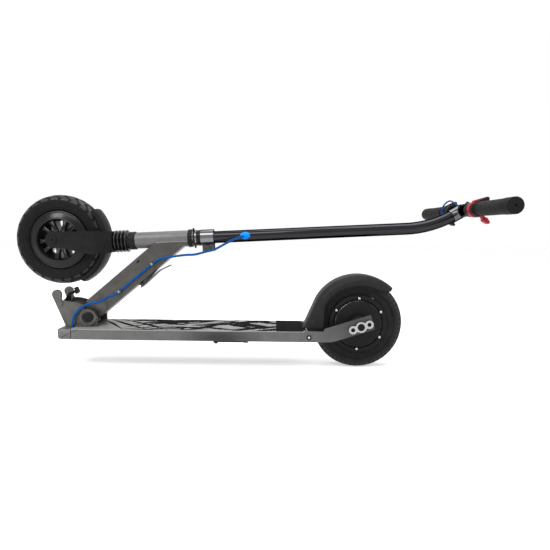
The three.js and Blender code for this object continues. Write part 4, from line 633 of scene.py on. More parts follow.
# %% Plating and metals
STEM_TURN = (0, math.radians(STEER_ANGLE), 0)
chrome = Shader("bright_chrome", srgb(112, 112, 114), 0.08, 1.0, edge_tint=0.0).roughly(350, 0.05, 0.14)
bright_cast = Shader("bright_cast_alloy", srgb(158, 158, 159), 0.22, 1.0, edge_tint=0.3)
bright_cast.drift(300, 0.85, 1.05).roughly(500, 0.16, 0.3)
black_chrome = Shader("black_chrome", srgb(50, 50, 52), 0.12, 1.0, edge_tint=0.0)
black_chrome.drift(25, 0.85, 1.1, stretch=(0.15, 1, 1), turn=STEM_TURN)
black_chrome.roughly(200, 0.08, 0.16, stretch=(0.1, 1, 1), turn=STEM_TURN)
clamp_metal = Shader("polished_clamp_metal", srgb(92, 92, 94), 0.12, 1.0, edge_tint=0.0)
clamp_metal.drift(120, 0.8, 1.15).roughly(300, 0.08, 0.18)
steel = Shader("machined_steel", srgb(148, 148, 146), 0.3, 1.0).drift(200, 0.85, 1.1).roughly(800, 0.24, 0.4)
screw_steel = Shader("screw_steel", srgb(190, 190, 188), 0.28, 0.9)
screw_steel.drift(900, 0.8, 1.1).roughly(900, 0.22, 0.4)
line_metal = Shader("turned_bright_line", srgb(104, 104, 104), 0.3, 1.0)
line_metal.drift(90, 0.7, 1.15).roughly(260, 0.24, 0.36)
alloy = Shader("bare_alloy", srgb(186, 188, 190), 0.3, 1.0).drift(150, 0.85, 1.08).roughly(500, 0.24, 0.42)
rim_metal = Shader("dark_satin_rim", srgb(14, 14, 15), 0.2, specular=0.2)
rim_metal.drift(90, 0.7, 1.15).roughly(260, 0.16, 0.24)
rim_black = Shader("gloss_black_casting", srgb(9, 9, 9), 0.2, specular=0.3)
rim_black.drift(90, 0.8, 1.3).roughly(300, 0.16, 0.3)
print("stem plating turned by", STEER_ANGLE, "degrees")

# %% [markdown]
# ## Rubbers
# Tyres, bellows, grips and the deck's grip strip are rubber, and each has its own sheen: the tyres are dull
# and dusty, the bellows shine. One black for all would lose that. The tops of the tread blocks and of the
# grip diamonds get a paler rubber, a painted highlight, and the rear tyre a lighter grey than the front one,
# painted light against the shade under the hood.


# %% Rubbers
def tyre_mix(name, grey):
    """Tyre rubber of one grey: a roughness between 0.5 and 0.7, and a relief of 0.16 mm."""
    made = Shader(name, srgb(grey, grey, grey), 0.62, specular=0.08)
    return made.drift(80, 0.78, 1.2).roughly(420, 0.5, 0.7).relief(1300, 0.00016)


# Painted light: the rear tyre is the same rubber as the front one in a lighter grey, against the shade under
# the hood.
tyre_rubber, rear_tyre_rubber = tyre_mix("tyre_rubber", 20), tyre_mix("rear_tyre_rubber", 36)
# Painted highlight: the tread blocks' tops are paler than the grooves between them.
tread_rubber = Shader("tread_rubber", srgb(36, 36, 36), 0.45, specular=0.2)
tread_rubber.drift(120, 0.8, 1.25).roughly(500, 0.32, 0.46).relief(1500, 0.00012)
rubber = Shader("black_rubber", srgb(15, 15, 15), 0.3, specular=0.14)
rubber.drift(120, 0.78, 1.25).roughly(500, 0.24, 0.38).relief(1600, 0.0001)
gaiter_rubber = Shader("gaiter_rubber", srgb(13, 13, 13), 0.24, specular=0.4)
gaiter_rubber.drift(200, 0.8, 1.2).roughly(700, 0.18, 0.3)
grip_rubber = Shader("grip_rubber", srgb(25, 25, 25), 0.6, specular=0.08)
grip_rubber.drift(300, 0.8, 1.25).roughly(800, 0.52, 0.7).relief(2400, 0.0001)
# Painted highlight: the tops of the grip's diamonds are paler than the rubber between them.
grip_diamond_highlight = Shader("grip_worn_diamonds", srgb(58, 58, 57), 0.6, specular=0.08)
grip_diamond_highlight.drift(300, 0.8, 1.2).roughly(800, 0.52, 0.7)
grip_tape = Shader("grip_strip", srgb(17, 17, 17), 0.9, specular=0.04)
grip_tape.drift(1500, 0.4, 1.8, detail=2).relief(2600, 0.0003)
print("tyre greys:", round(tyre_rubber.color[0], 4), round(rear_tyre_rubber.color[0], 4))

# %% [markdown]
# ## Plastics, jackets and inner parts
# Housings, rear hood and levers are moulded, with the fine grain of the mould. Cable jackets are smoother.
# The parts inside are covered, but a part that is taken off shows them, so winding and pack get a likely
# finish too.

# %% Plastics, jackets and inner parts
black_plastic = Shader("moulded_black_plastic", srgb(28, 28, 28), 0.5, specular=0.09)
black_plastic.drift(90, 0.82, 1.2).roughly(700, 0.42, 0.6).relief(1800, 0.00012)
hood_plastic = Shader("hood_plastic", srgb(35, 35, 35), 0.48, specular=0.1)
hood_plastic.drift(90, 0.85, 1.15).roughly(700, 0.4, 0.56).relief(1800, 0.0001)
red_plastic = Shader("red_plastic", srgb(158, 24, 40), 0.4, specular=0.2)
red_plastic.drift(80, 0.85, 1.1).roughly(600, 0.34, 0.46).relief(2000, 0.00006)
print_black = Shader("deck_print", srgb(15, 15, 15), 0.9, specular=0.04)
print_black.drift(150, 0.7, 1.4).roughly(300, 0.8, 0.95)
# Painted shade: a near-black matte finish for the shade in recesses: the neck's slots, the motor covers'
# screw seats and groove, and the inside of the front rim.
painted_shade_black = Shader("deep_shade", srgb(10, 10, 10), 0.9, specular=0.1).drift(200, 0.8, 1.1)
blue_jacket = Shader("blue_cable_jacket", srgb(2, 72, 138), 0.4, specular=0.1)
blue_jacket.drift(200, 0.8, 1.15).roughly(900, 0.34, 0.5).relief(2600, 0.00005)
blue_bright = Shader("bright_blue_rubber", srgb(0, 136, 236), 0.45, specular=0.1)
blue_bright.drift(120, 0.92, 1.05).roughly(500, 0.4, 0.5)
clear_tie = Shader("pale_cable_tie", srgb(118, 132, 148), 0.4).drift(300, 0.9, 1.1).roughly(600, 0.35, 0.5)
copper = Shader("copper_winding", srgb(184, 115, 51), 0.4, 0.9).drift(900, 0.6, 1.2).relief(2500, 0.0003)
pack_film = Shader("pack_film", srgb(43, 74, 122), 0.45).drift(90, 0.85, 1.1).roughly(300, 0.4, 0.55)
print("materials:", len(bpy.data.materials))

# %% [markdown]
# ## Harness
# A round blue jacket comes out of the stem, is held by two clips on the neck and goes down into the deck. A
# curve object with a bevel would look the same, but a circle carried along a smooth line through the routed
# points is a plain mesh at once. The run on the neck rides on it, and the two runs that cross a joint ride on
# no body.

# %% Harness
HARNESS_RADIUS, HARNESS_Y, CLIPS = 2.5, -20.6, (186, 88)
neck_ends = NECK.mm([[u, HARNESS_Y, 0] for u in (191.3, 190.3, 83.7, 82.7)])
upper_run = [[-260, -17, 295.8], [-266.5, -17.7, 293.9], [-275, -18.6, 290.9], [-284.1, -19.2, 287.5],
             [-299.8, -19.6, 278.9], [-324.2, -20, 265.7], [-343.6, -20.5, 260.2], [-369, -20.5, 253.6],
             [-390.5, -20.5, 252.2], [-422.9, -20.5, 247.6], [-439.9, -20.5, 244.9], [-450, -20.6, 241],
             *neck_ends[:2]]
lower_run = [*neck_ends[2:], [-547.6, -24.5, 160.9], [-563.3, -31, 156.4], [-575.1, -35.5, 147.9],
             [-597.4, -38.2, 143.2], [-613, -38.6, 136.7], [-624.9, -38.6, 128.1], [-632.9, -38.6, 117.8],
             [-637.6, -38.6, 106], [-638.6, -38.6, 96], [-638.6, -38.6, 84]]
middle_run = [[84, HARNESS_Y, 0], [190, HARNESS_Y, 0]]
harness_top = piece("harness_stem_run", swept(DECK, smooth_line(upper_run, 120), HARNESS_RADIUS, 20),
                    blue_jacket, None, "harness_upper")
harness_low = piece("harness_deck_run", swept(DECK, smooth_line(lower_run, 90), HARNESS_RADIUS, 20),
                    blue_jacket, None, "harness_lower")
piece("harness_neck_run", swept(NECK, smooth_line(middle_run, 40), HARNESS_RADIUS, 20), blue_jacket, "neck",
      "harness_neck")
tuple(DECK([-450, -20, 243])[0])
tuple(DECK([-266, -18, 294])[0])
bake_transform(harness_top)
tuple(DECK([-637, -32, 100])[0])
tuple(DECK([-550, -24, 161])[0])
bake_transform(harness_low)
print("harness runs of", round(length_along(np.array(upper_run))[-1]), "and",
      round(length_along(np.array(lower_run))[-1]), "mm")

# %% [markdown]
# ## Leads and latch cable
# Two thin leads run from the stem's clamp to the thumb controls, and a short cable pulls the latch. They are
# made as the harness is. Each rides on one body, because both of its ends do.

# %% Leads and latch cable
EAR = Place(*FOLD_PIVOT)
LATCH_RUN = [[-49.5, 0, 31], [-45, 0, 31.6], [-38.5, 0, 32.8], [-31.5, 0, 35.2], [-25, 0, 36.6],
             [-18, 0, 36.2], [-10.5, 0, 32.5]]
THROTTLE_RUN = [[-1, 17.4, 12.8], [-1, 19.4, 12.9], [-3, 26, 17.5], [-8.5, 43, 25], [-15, 53, 20.5],
                [-20.5, 57, 12], [-22.5, 58, 4], [-20, 58, -2.8], [-15.8, 58, -2.8]]
BRAKE_RUN = [[0, -17.4, 12.6], [0, -19.4, 12.7], [0, -30, 17], [0, -41.5, 14], [0, -45.7, 13.3]]
piece("release_wire", swept(EAR, smooth_line(LATCH_RUN, 40), 1.2, 12), rubber, "deck", "release_cable")
piece("throttle_wire", swept(BAR, smooth_line(THROTTLE_RUN, 80), 1.8, 14), blue_jacket, "steering",
      "throttle_lead")
piece("brake_wire", swept(BAR, smooth_line(BRAKE_RUN, 40), 1.8, 14), rubber, "steering", "brake_lead")
print("latch cable", round(length_along(smooth_line(LATCH_RUN, 40))[-1], 1), "mm")

# %% [markdown]
# ## Pairs and halves
# A scooter is nearly the same on both sides. A mirror modifier could do that for whole pieces, but here it is
# mostly a bolt, a washer or a plate that comes twice. So a section can be given by its half, and a shape can
# be made at y and at -y in one call.


# %% Pairs and halves
def mirrored(half):
    """A whole section from its half on the +y side: the half, then its points back again with y times -1,
    less those on y = 0."""
    p = np.asarray(half, float)
    other = p[::-1]
    return np.vstack([p, other[np.abs(other[:, 0]) > 1e-9] * [-1, 1]])


def turned_pair(place, profile, sides):
    """A profile of (y, radius) turned round the y axis, and again with y times -1."""
    return merged(*[turned(place, "y", profile * [side, 1], sides) for side in (1, -1)])


def slab_pair(place, outline, y0, y1, edge):
    """A plate from y0 to y1, and the same one from -y1 to -y0."""
    return merged(slab(place, outline, y0, y1, edge), slab(place, outline, -y1, -y0, edge))


def corners(a0, a1, b0, b1):
    """The four corners of a rectangle, from (a0, b0) by way of (a0, b1) round to (a1, b0)."""
    return [[a0, b0], [a0, b1], [a1, b1], [a1, b0]]


def on_side(side, *nodes):
    """Those nodes whose box has the sum of its lowest and highest y on the given side of zero."""
    return [node for node in nodes if (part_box(node)[0][1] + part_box(node)[1][1]) * side > 0]


print("grip on the near side:", on_side(-1, "grip_left", "grip_right"))

# %% [markdown]
# ## Deck shell
# Two pressed rails with swept arms hold the rear axle, and a cover closes them below. The solids are right,
# so copies of them get rounded edges, which is how a pressed part catches light. The nose cap is drawn anew
# from the side and carried across the deck, because its lower corner is rounder than a bevel would make it. A
# slanting seam marks where it starts.

# %% Deck shell
DECK_TOP, DECK_HALF, NOSE_X, REAR_X = 89.6, 57.5, -635.0, -124.0
dressed("deck_frame", deck_paint, 1.1)
nose_line = belt([[-661.5, 87.1, 2.5], [-657, 73, 7], [-634, 67.1, 1], [-634, 88.4, 1]])
piece("deck_nose", slab(DECK, nose_line, -DECK_HALF, DECK_HALF, 2.4), deck_paint, "deck", "deck_nose_cap")
seam_line = belt([[-656, 70.5, 0.4], [-619, 88.4, 0.4]], 6)
piece("nose_seam", slab_pair(DECK, seam_line, DECK_HALF - 0.1, DECK_HALF + 0.08, 0.05), print_black, "deck")
dressed("bottom_cover", black_plastic)
plate_line = rounded(corners(NOSE_X + 0.3, REAR_X, -DECK_HALF, DECK_HALF), 1.0)
piece("deck_top", slab(DECK, plate_line, DECK_TOP - 2.5, DECK_TOP, 0.8, axis="z"), deck_top, "deck",
      "deck_top_plate")
print("deck from", NOSE_X, "to", REAR_X)

# %% [markdown]
# ## Deck pattern
# The pale plate is printed with a pattern, and this script has its own: long tapering shards, most of which
# lean one way. It could be an image, but shapes stay sharp at any distance. Each shard is a thin printed
# film, a tenth of a millimetre high or less at first and a little higher each time, so that no two films lie
# in one plane.

# %% Deck pattern
FILM = 0.08


def stroke(x0, y0, x1, y1, width, bow=0.0, ragged=0.0, seed=0, steps=40):
    """A shard from one point to the other. At the share t its middle stands aside by bow times sin(pi t), and
    half its width is width / 2 times (1 - |2t - 1|) to the 0.8, with a seeded ragged edge."""
    rng = np.random.default_rng(seed)
    t = np.linspace(0, 1, steps)
    d = np.array([x1 - x0, y1 - y0], float)
    n = np.array([-d[1], d[0]]) / np.hypot(*d)
    mid = np.array([x0, y0]) + t[:, None] * d + (bow * np.sin(np.pi * t))[:, None] * n
    half = width / 2 * np.clip(1 - np.abs(2 * t - 1), 0.03, 1) ** 0.8
    a = mid + (half * (1 + ragged * rng.uniform(-1, 1, steps)))[:, None] * n
    b = mid - (half * (1 + ragged * rng.uniform(-1, 1, steps)))[:, None] * n
    return np.vstack([a, b[::-1]])


def film(outline, height):
    """The outline at two levels, DECK_TOP - 0.2 and DECK_TOP plus the height. Its faces join point k to point
    n - 1 - k across each level, and the levels to each other round the edge."""
    p = np.clip(outline, [NOSE_X + 4, -DECK_HALF + 1.2], [REAR_X - 2, DECK_HALF - 1.2])
    n = len(p)
    low, high = (np.column_stack([p, np.full(n, z)]) for z in (DECK_TOP - 0.2, DECK_TOP + height))
    k = np.arange(n // 2 - 1)
    across = np.column_stack([k, k + 1, n - 2 - k, n - 1 - k])
    k = np.arange(n)
    wall = np.column_stack([k, (k + 1) % n, n + (k + 1) % n, n + k])
    return DECK(np.vstack([low, high])), np.vstack([across, across + n, wall]).tolist(), None


strokes = [stroke(-608, 57, -520, -57, 8, 2, 0.05, 1), stroke(-590, 57, -462, -57, 11, -3, 0.06, 2),
           stroke(-566, 57, -440, -30, 7, 1, 0.05, 3), stroke(-540, 40, -420, -57, 9, 2, 0.1, 4)]
rng = np.random.default_rng(12)
for k in range(40):
    x = -500 + 7.6 * k + rng.uniform(-8, 8)
    y = rng.uniform(-50, 50)
    length = rng.uniform(50, 130)
    lean = rng.uniform(8, 34) * rng.choice([-1, 1], p=[0.8, 0.2])
    strokes.append(stroke(x - length / 2, y + lean, x + length / 2, y - lean, rng.uniform(5, 24),
                          rng.uniform(-3, 3), 0.3, 100 + k))
films = [film(line, FILM * (1 + 0.02 * k)) for k, line in enumerate(strokes)]
piece("deck_print", merged(*films), print_black, "deck")
print("strokes:", len(strokes))

# %% [markdown]
# ## Grip strip
# A dark gritty strip crosses the rear end of the deck, where a foot stands. It could be a second finish on
# the plate, but a thin sheet with a rounded edge also shows its thickness from the side.

# %% Grip strip
strip = rounded(corners(-185, REAR_X - 0.1, 0.3 - DECK_HALF, DECK_HALF - 0.3), 1.5)
piece("rear_grip_strip", slab(DECK, strip, DECK_TOP - 0.2, DECK_TOP + 0.5, 0.25, axis="z"), grip_tape, "deck")
print("grip strip", np.ptp(strip, axis=0).round(1), "mm")

# %% [markdown]
# ## Folding bracket and neck
# Two hook-headed cheeks stand on the deck, a latch claw swings between them, and the neck is a box that folds
# round one bolt. Their curves are in the solids, so copies get the rolled edges of thick plate. The bolt is
# turned from its half, with a head at both ends and two collars inside. A wedge that guides the release lever
# is a small surface form, and two slots on the neck's sides are thin near-black plates of painted shade.

# %% Bracket and neck
dressed("fold_bracket", neck_paint, 0.9)
dressed("latch_claw", black_paint, 0.6)
dressed("neck_frame", neck_paint, 0.9)
dressed("release_lever", neck_paint, 0.4)
dressed("fold_bumper", rubber, 2.0)
CHEEK = 31.8
bolt_half = [[CHEEK + 2.7, 0.01], [CHEEK + 2.7, 9.6], [CHEEK + 1.6, 11], [CHEEK + 0.3, 11], [CHEEK + 0.3, 7],
             [26, 7], [26, 12], [19.4, 12], [19.4, 7]]
piece("hinge_bolt", turned(EAR, "y", mirrored(bolt_half), 48), black_paint, "deck", "fold_bolt")
# Painted shade: each slot is a thin near-black plate on the neck's side, for the shade inside it.
slot_shade_line = belt([[-498.4, 234.4, 1.7], [-494.6, 237.6, 1.7]])
piece("neck_slots", slab_pair(DECK, slot_shade_line, 17.2, 17.75, 0.15), painted_shade_black, "neck")
guide_line = rounded([[141, -14], [141, -20.6], [160, -18.2], [184, -14.7], [184, -14]], 1.0)
piece("lever_guide", slab(NECK, guide_line, -11.5, 11.5, 0.5), neck_paint, "neck")
print("hinge bolt reaches", CHEEK + 2.7)

# %% [markdown]
# ## Tyres
# Both tyres are air filled and have a block tread and ringed sidewalls. The blocks could be modelled one by
# one and set round the wheel. Here the whole tyre is one section turned round the axle, and its radius is
# lowered where a zigzag groove or a line round the tyre passes. By the same formula the block tops get a
# paler rubber, a painted highlight.

# %% Tyres
FOLD_PITCH, LINE_Y = 17, 8
FRONT_TREAD, REAR_TREAD = dict(blocks=25, lean=0.75), dict(blocks=54, lean=1.5)


def groove_phase(around, along, blocks, lean):
    """How far round its block a point is, from 0 to 1: the blocks times the share of the turn, plus lean
    times a triangle wave of y that repeats every 17 mm."""
    fold = np.abs(np.mod(along / FOLD_PITCH + 0.25, 1) - 0.5) * 2
    return np.mod(around / (2 * np.pi) * blocks + lean * fold, 1)


def tread(depth, low, blocks, lean):
    """A depth function for a lathe. Outside the radius low, the radius loses the depth where the phase is
    within 0.13 of a half or |y| within 1.5 mm of 8 mm. Sidewalls go in by 0.7 mm in rings 3 mm apart."""
    def cut(along, radius, around):
        """What each point's y and radius gain, by the formula of the tread."""
        zigzag = np.clip((0.13 - np.abs(groove_phase(around, along, blocks, lean) - 0.5)) / 0.04, 0, 1)
        lines = np.clip((1.5 - np.abs(np.abs(along) - LINE_Y)) / 0.5, 0, 1)
        outer = np.clip((radius - low) / 2.5, 0, 1)
        side = np.clip((low - 4 - radius) / 3, 0, 1) * np.clip((radius - 66) / 2, 0, 1)
        rings = 0.7 * (np.sin(radius * 2.1) > 0.1) * side
        return -np.sign(along) * rings, -depth * np.maximum(zigzag, lines) * outer
    return cut


def block_tops(low, blocks, lean):
    """A test that is true outside the radius low where neither the zigzag nor a line passes."""
    def test(c):
        """The phase is over 0.16 from a half, and |y| over 1.6 mm from 8 mm."""
        phase = groove_phase(np.arctan2(c[:, 2], c[:, 0]), c[:, 1], blocks, lean)
        clear = (np.abs(phase - 0.5) > 0.16) & (np.abs(np.abs(c[:, 1]) - LINE_Y) > 1.6)
        return (np.hypot(c[:, 0], c[:, 2]) > low) & clear
    return test


print("groove phase at the middle of the tread:", groove_phase(0.0, 0.0, **FRONT_TREAD))

# %% Front and rear tyre
front_half = [[12.7, 62.3], [16.7, 64.3], [20.8, 67.5], [23.2, 72.5], [24, 78], [23.9, 83], [22.9, 87.5],
              [21.3, 91], [18.4, 94.4], [15.3, 96.4], [11, 98.3], [7, 99.3], [0, 99.5]]
rear_half = [[16.7, 66.3], [17.6, 76], [18, 81], [21.6, 83], [22.8, 85.5], [22.9, 87.5], [22.2, 91.4],
             [19.6, 97.8], [16.5, 99.4], [13.5, 100.4], [10, 101.3], [0, 101.45]]
front_section, rear_section = mirrored(smooth_line(front_half, 44)), mirrored(smooth_line(rear_half, 40))
front_tyre = piece("front_tyre_moulding",
                   turned(FRONT_WHEEL, "y", front_section, 500, depth=tread(2.8, 85, **FRONT_TREAD)),
                   tyre_rubber, "front_wheel", "front_tyre", angle=40)
rear_tyre = piece("rear_tyre_moulding",
                  turned(REAR_WHEEL, "y", rear_section, 500, depth=tread(2.0, 91, **REAR_TREAD)),
                  rear_tyre_rubber, "rear_wheel", "rear_tyre", angle=40)
# Painted highlight: the block tops of both tyres get a paler rubber.
second_finish(front_tyre, FRONT_WHEEL, tread_rubber, block_tops(88, **FRONT_TREAD))
second_finish(rear_tyre, REAR_WHEEL, tread_rubber, block_tops(91, **REAR_TREAD))
print("tyre sections:", len(front_section), "and", len(rear_section), "points")

# %% [markdown]
# ## Front rim
# The front rim is one dark casting: a hub, a barrel and five forked spokes. Spokes could be drawn as plates
# and cut out, but each half of a fork is a box with soft corners that widens towards both ends, and that is
# a formula. The satin ring on each side is a turned piece of its own.


# %% Rim casting
def beam(k, count=22, around=40):
    """Half of a forked spoke. Where t is (r - 32) / 14, its half width is 4.6 + 3.4 t t and its half depth
    17 + 3 t t. Round it, cos and sin to the power 0.45 make a soft box, and a bell curve sinks its faces."""
    r = np.linspace(18.5, 46, count)
    t = (r - 32) / 14
    half_wide, half_deep = 4.6 + 3.4 * t ** 2, 17.0 + 3.0 * t ** 2
    a = np.linspace(0, 2 * np.pi, around, endpoint=False)
    ca, sa = np.cos(a), np.sin(a)
    x, y = (np.sign(v) * np.abs(v) ** 0.45 for v in (ca, sa))
    y = y * (1 - 0.12 * np.exp(-(ca / 0.45) ** 2))
    grid = np.stack([r[:, None] + 0 * x, half_deep[:, None] * y, half_wide[:, None] * x], -1)
    arm = FRONT_WHEEL.inner(0, 0, -(18 + 72 * (k // 2) + (15, -15)[k % 2]))
    return arm(grid), grid_faces(count, around) + end_caps(count, around), None


barrel_half = rounded([[0, 62], [13, 62], [17, 64.4], [20.4, 62.6], [21.4, 58], [25.4, 48], [24.6, 44.6],
                       [0, 44.6]], 0.5, 4, closed=False)
hub_half = rounded([[0, 11.3], [15.2, 11.3], [16, 12.2], [16, 17.5], [14.6, 20], [0, 20]], 0.6, closed=False)
barrel = turned(FRONT_WHEEL, "y", mirrored(barrel_half), 128)
hub = turned(FRONT_WHEEL, "y", mirrored(hub_half), 96)
casting = piece("front_rim_casting", merged(barrel, hub, *[beam(k) for k in range(10)]), rim_black,
                "front_wheel", "front_rim")
# Painted shade: the barrel's faces, 43 mm and more from the axle, get a near-black matte finish for the shade
# inside the rim.
second_finish(casting, FRONT_WHEEL, painted_shade_black, lambda c: np.hypot(c[:, 0], c[:, 2]) > 43)
print("rim casting:", len(casting.data.vertices), "points")

# %% Rim faces and seals
HUB_HALF = 16
flange_half = rounded([[17.5, 64.8], [20.6, 64.0], [21.8, 62.0], [21.2, 60.6], [22.6, 58.8], [26.9, 48.4],
                       [26.2, 45.6], [23.4, 45.2]], 0.5, 4, closed=False)
facing = np.vstack([flange_half, (flange_half - [0.7, 0.2])[::-1]])
for side, word in ((-1, "near"), (1, "far")):
    piece("rim_face_" + word, turned(FRONT_WHEEL, "y", facing * [side, 1], 128), rim_metal, "front_wheel")
seal = rounded(corners(HUB_HALF - 0.4, HUB_HALF + 0.02, 8.7, 12.2), 0.3)
piece("hub_seals", turned_pair(FRONT_WHEEL, seal, 40), rubber, "front_wheel")
print("rim faces reach", np.abs(facing[:, 0]).max(), "mm from the middle")

# %% [markdown]
# ## Front axle
# One long bolt holds the wheel in the fork. Cylinders of different widths could be joined, but one stepped
# section turned round the axle gives the shaft and its shoulders at once. The heads are turned in the same
# way, each with a chamfer and a round socket.

# %% Front axle
AXLE_HEAD = 45.3
head = rounded([[0, 0.01], [0, 7.5], [1.5, 7.5], [2.6, 5.6], [2.6, 3.4], [0.7, 3.2], [0.7, 0.01]], 0.35,
               closed=False) + [AXLE_HEAD, 0]
shank = mirrored([[AXLE_HEAD + 0.3, 0.01], [AXLE_HEAD + 0.3, 6], [34.7, 6], [34.7, 8.5], [16.3, 8.5],
                  [16.3, 6]])
piece("front_axle_bolt", merged(turned_pair(FRONT_WHEEL, head, 36), turned(FRONT_WHEEL, "y", shank, 36)),
      black_paint, "fork", "front_axle")
print("front axle", 2 * (AXLE_HEAD + 2.6), "mm long")

# %% [markdown]
# ## Motor covers
# The motor fills the rear wheel. Each side has a cast cover with a raised disc, six screws in seats and a
# fine bright line where the disc meets the flange. The seats and a groove round the disc are painted shade,
# rings of near black. All of it is round, so it is all turned: the cover, line and groove about the axle, and
# each screw and its seat about its own middle on the screw circle.

# %% Motor covers
SCREWS, SCREW_CIRCLE, FIRST_SCREW = 6, 58, 28.6
cover = rounded([[16.4, 50], [16.4, 64.6], [22.2, 65.4], [23.5, 64.2], [23.5, 53.6], [23.1, 52.6],
                 [25.4, 51.6], [27, 50], [27, 24], [26.2, 21.5], [26.2, 17], [28.4, 15], [31, 14], [31, 6.3],
                 [23.5, 6.3], [23.5, 46.5]], 0.8)
screw = rounded([[23.4, 0.01], [23.4, 3], [24.2, 3], [24.9, 2.2], [24.9, 1.5], [24.1, 1.3], [24.1, 0.01]],
                0.25, closed=False)
# Painted shade: the seats under the screws and the groove round the disc are thin near-black rings for the
# shade in those recesses.
seat = rounded(corners(23.4, 23.75, 0.01, 5.0), 0.1, 2, closed=False)
line = rounded([[23.6, 51.6], [23.6, 52.8], [24.3, 52.4], [25.0, 51.6]], 0.2)
groove = rounded(corners(23.45, 23.7, 53, 56.4), 0.1)
angles = np.radians(FIRST_SCREW + 360 / SCREWS * np.arange(SCREWS))
spots = [REAR_WHEEL.inner(SCREW_CIRCLE * math.cos(a), SCREW_CIRCLE * math.sin(a)) for a in angles]
for side, word in ((-1, "left"), (1, "right")):
    flip = [side, 1]
    piece("motor_cover_casting_" + word, turned(REAR_WHEEL, "y", cover * flip, 120), cover_paint,
          "rear_wheel", on_side(side, "motor_cover_left", "motor_cover_right"))
    piece("motor_cover_screws_" + word, merged(*[turned(spot, "y", screw * flip, 24) for spot in spots]),
          screw_steel, "rear_wheel")
    piece("motor_cover_line_" + word, turned(REAR_WHEEL, "y", line * flip, 120), line_metal, "rear_wheel")
    # Painted shade: near-black rings in the screws' seats and the groove.
    pocket_shades = [turned(spot, "y", seat * flip, 24) for spot in spots]
    piece("motor_cover_pockets_" + word, merged(turned(REAR_WHEEL, "y", groove * flip, 120), *pocket_shades),
          painted_shade_black, "rear_wheel")
dressed("hub_motor_ring", cover_paint, 0.4)
print("screws on each cover:", len(spots))

# %% [markdown]
# ## Rear axle and its plates
# The axle's flats sit in bright slotted plates on the deck's arms, and a dark screw fills the hole at each
# end of a plate. The plates are copies with a wide bevel, because their shine lies on the rounded edge. The
# screws are turned, on a line that is tilted as the plates are.

# %% Axle and plates
dressed("axle_plate_left", bright_cast, 0.9)
dressed("axle_plate_right", bright_cast, 0.9)
dressed("rear_axle", black_paint, 0.4)
HOLE_PITCH, PLATE_TILT = 18.7, math.radians(19.5)
disc = rounded([[57.3, 0.01], [57.3, 4.5], [60.2, 4.5], [60.2, 2.0], [59.4, 1.8], [59.4, 0.01]], 0.3, 2,
               closed=False)
holes = [REAR_WHEEL.inner(out * math.cos(PLATE_TILT), out * math.sin(PLATE_TILT))
         for out in (-HOLE_PITCH, HOLE_PITCH)]
piece("plate_screws", merged(*[turned_pair(hole, disc, 24) for hole in holes]), black_paint, "deck")
print("plate holes at", [np.round(hole.origin[[0, 2]], 1).tolist() for hole in holes])

# %% [markdown]
# ## Rear hood
# The hood over the rear wheel is a thin moulding and the foot brake. Its crown is nearly flat and its skirts
# turn down steeply. A subdivided cage could be pulled into shape by hand. A grid is easier to match: one
# direction follows the wheel, the other crosses it, and the drop grows with a high power of the way across.

# %% Rear hood
HOOD = dict(foot=(-122.5, 92), start=150, end=46.5, r0=109, r1=112.8, half=35, arch=14, skirt=89,
            foot_depth=42, taper=66, tip=0.72, tip_arch=11, rim=0.96, power=5)


def hood_rows(straight=10, arc=64):
    """x, z, inward direction, skirt depth, share of the width and arch of each station. Stations lie on a
    straight line from the foot, then on an arc whose radius changes evenly with its angle. Past the taper's
    angle, depth, width and arch fade with the square of the way to the tip."""
    h = HOOD
    s = math.radians(h["start"])
    begin = np.array([h["r0"] * math.cos(s), AXLE_HEIGHT + h["r0"] * math.sin(s)])
    t = np.linspace(0, 1, straight, endpoint=False)
    foot = np.array(h["foot"], float)
    at = foot + (begin - foot) * t[:, None]
    turn = np.pi * (1 - t) + t * s - np.pi
    depth = h["foot_depth"] + (h["r0"] - h["skirt"] - h["foot_depth"]) * t
    low = np.column_stack([at, turn, depth, np.ones(straight), np.full(straight, h["arch"])])
    u = np.linspace(0, 1, arc)
    angle = h["start"] + (h["end"] - h["start"]) * u
    radius = h["r0"] + (h["r1"] - h["r0"]) * u
    fade = np.clip((h["taper"] - angle) / (h["taper"] - h["end"]), 0, 1) ** 2
    full = radius - h["skirt"]
    a = np.radians(angle)
    high = np.column_stack([radius * np.cos(a), AXLE_HEIGHT + radius * np.sin(a), a - np.pi,
                            full + (h["tip_arch"] - full) * fade, 1 - (1 - h["tip"]) * fade,
                            h["arch"] - (h["arch"] - h["tip_arch"]) * fade])
    return np.vstack([low, high])


def hood_grid(rows, inward, columns=49):
    """The drop below the crown: inward plus (arch - 1) times |across| to the fifth power, less a bell-shaped
    ridge of 0.9 mm on the outside. Past the rim it grows in a straight line to the skirt's depth."""
    x, z, turn, depth, wide, arch = [c[:, None] for c in rows.T]
    v = np.sin(np.linspace(-1, 1, columns) * np.pi / 2)[None, :]
    across = np.clip(v / HOOD["rim"], -1, 1)
    ridge = 0.9 * np.exp(-((np.abs(v) - 0.83) / 0.022) ** 2) if inward < 1 else 0
    bent = inward + (arch - 1) * np.abs(across) ** HOOD["power"] - ridge
    past = np.clip((np.abs(v) - HOOD["rim"]) / (1 - HOOD["rim"]), 0, 1)
    drop = bent + (depth - bent) * past
    half = HOOD["half"] * wide - inward
    return np.stack([x + drop * np.cos(turn), half * across, z + drop * np.sin(turn)], -1)


rows = hood_rows()
outer, inner = hood_grid(rows, 0.02), hood_grid(rows, 1.98)
inner[:, 0], inner[:, -1] = outer[:, 0] + [0, 1.9, 0], outer[:, -1] - [0, 1.9, 0]
verts, faces = thick_grid(outer, inner)
hood_shell = (DECK(verts), faces, None)
print("hood grid", outer.shape)

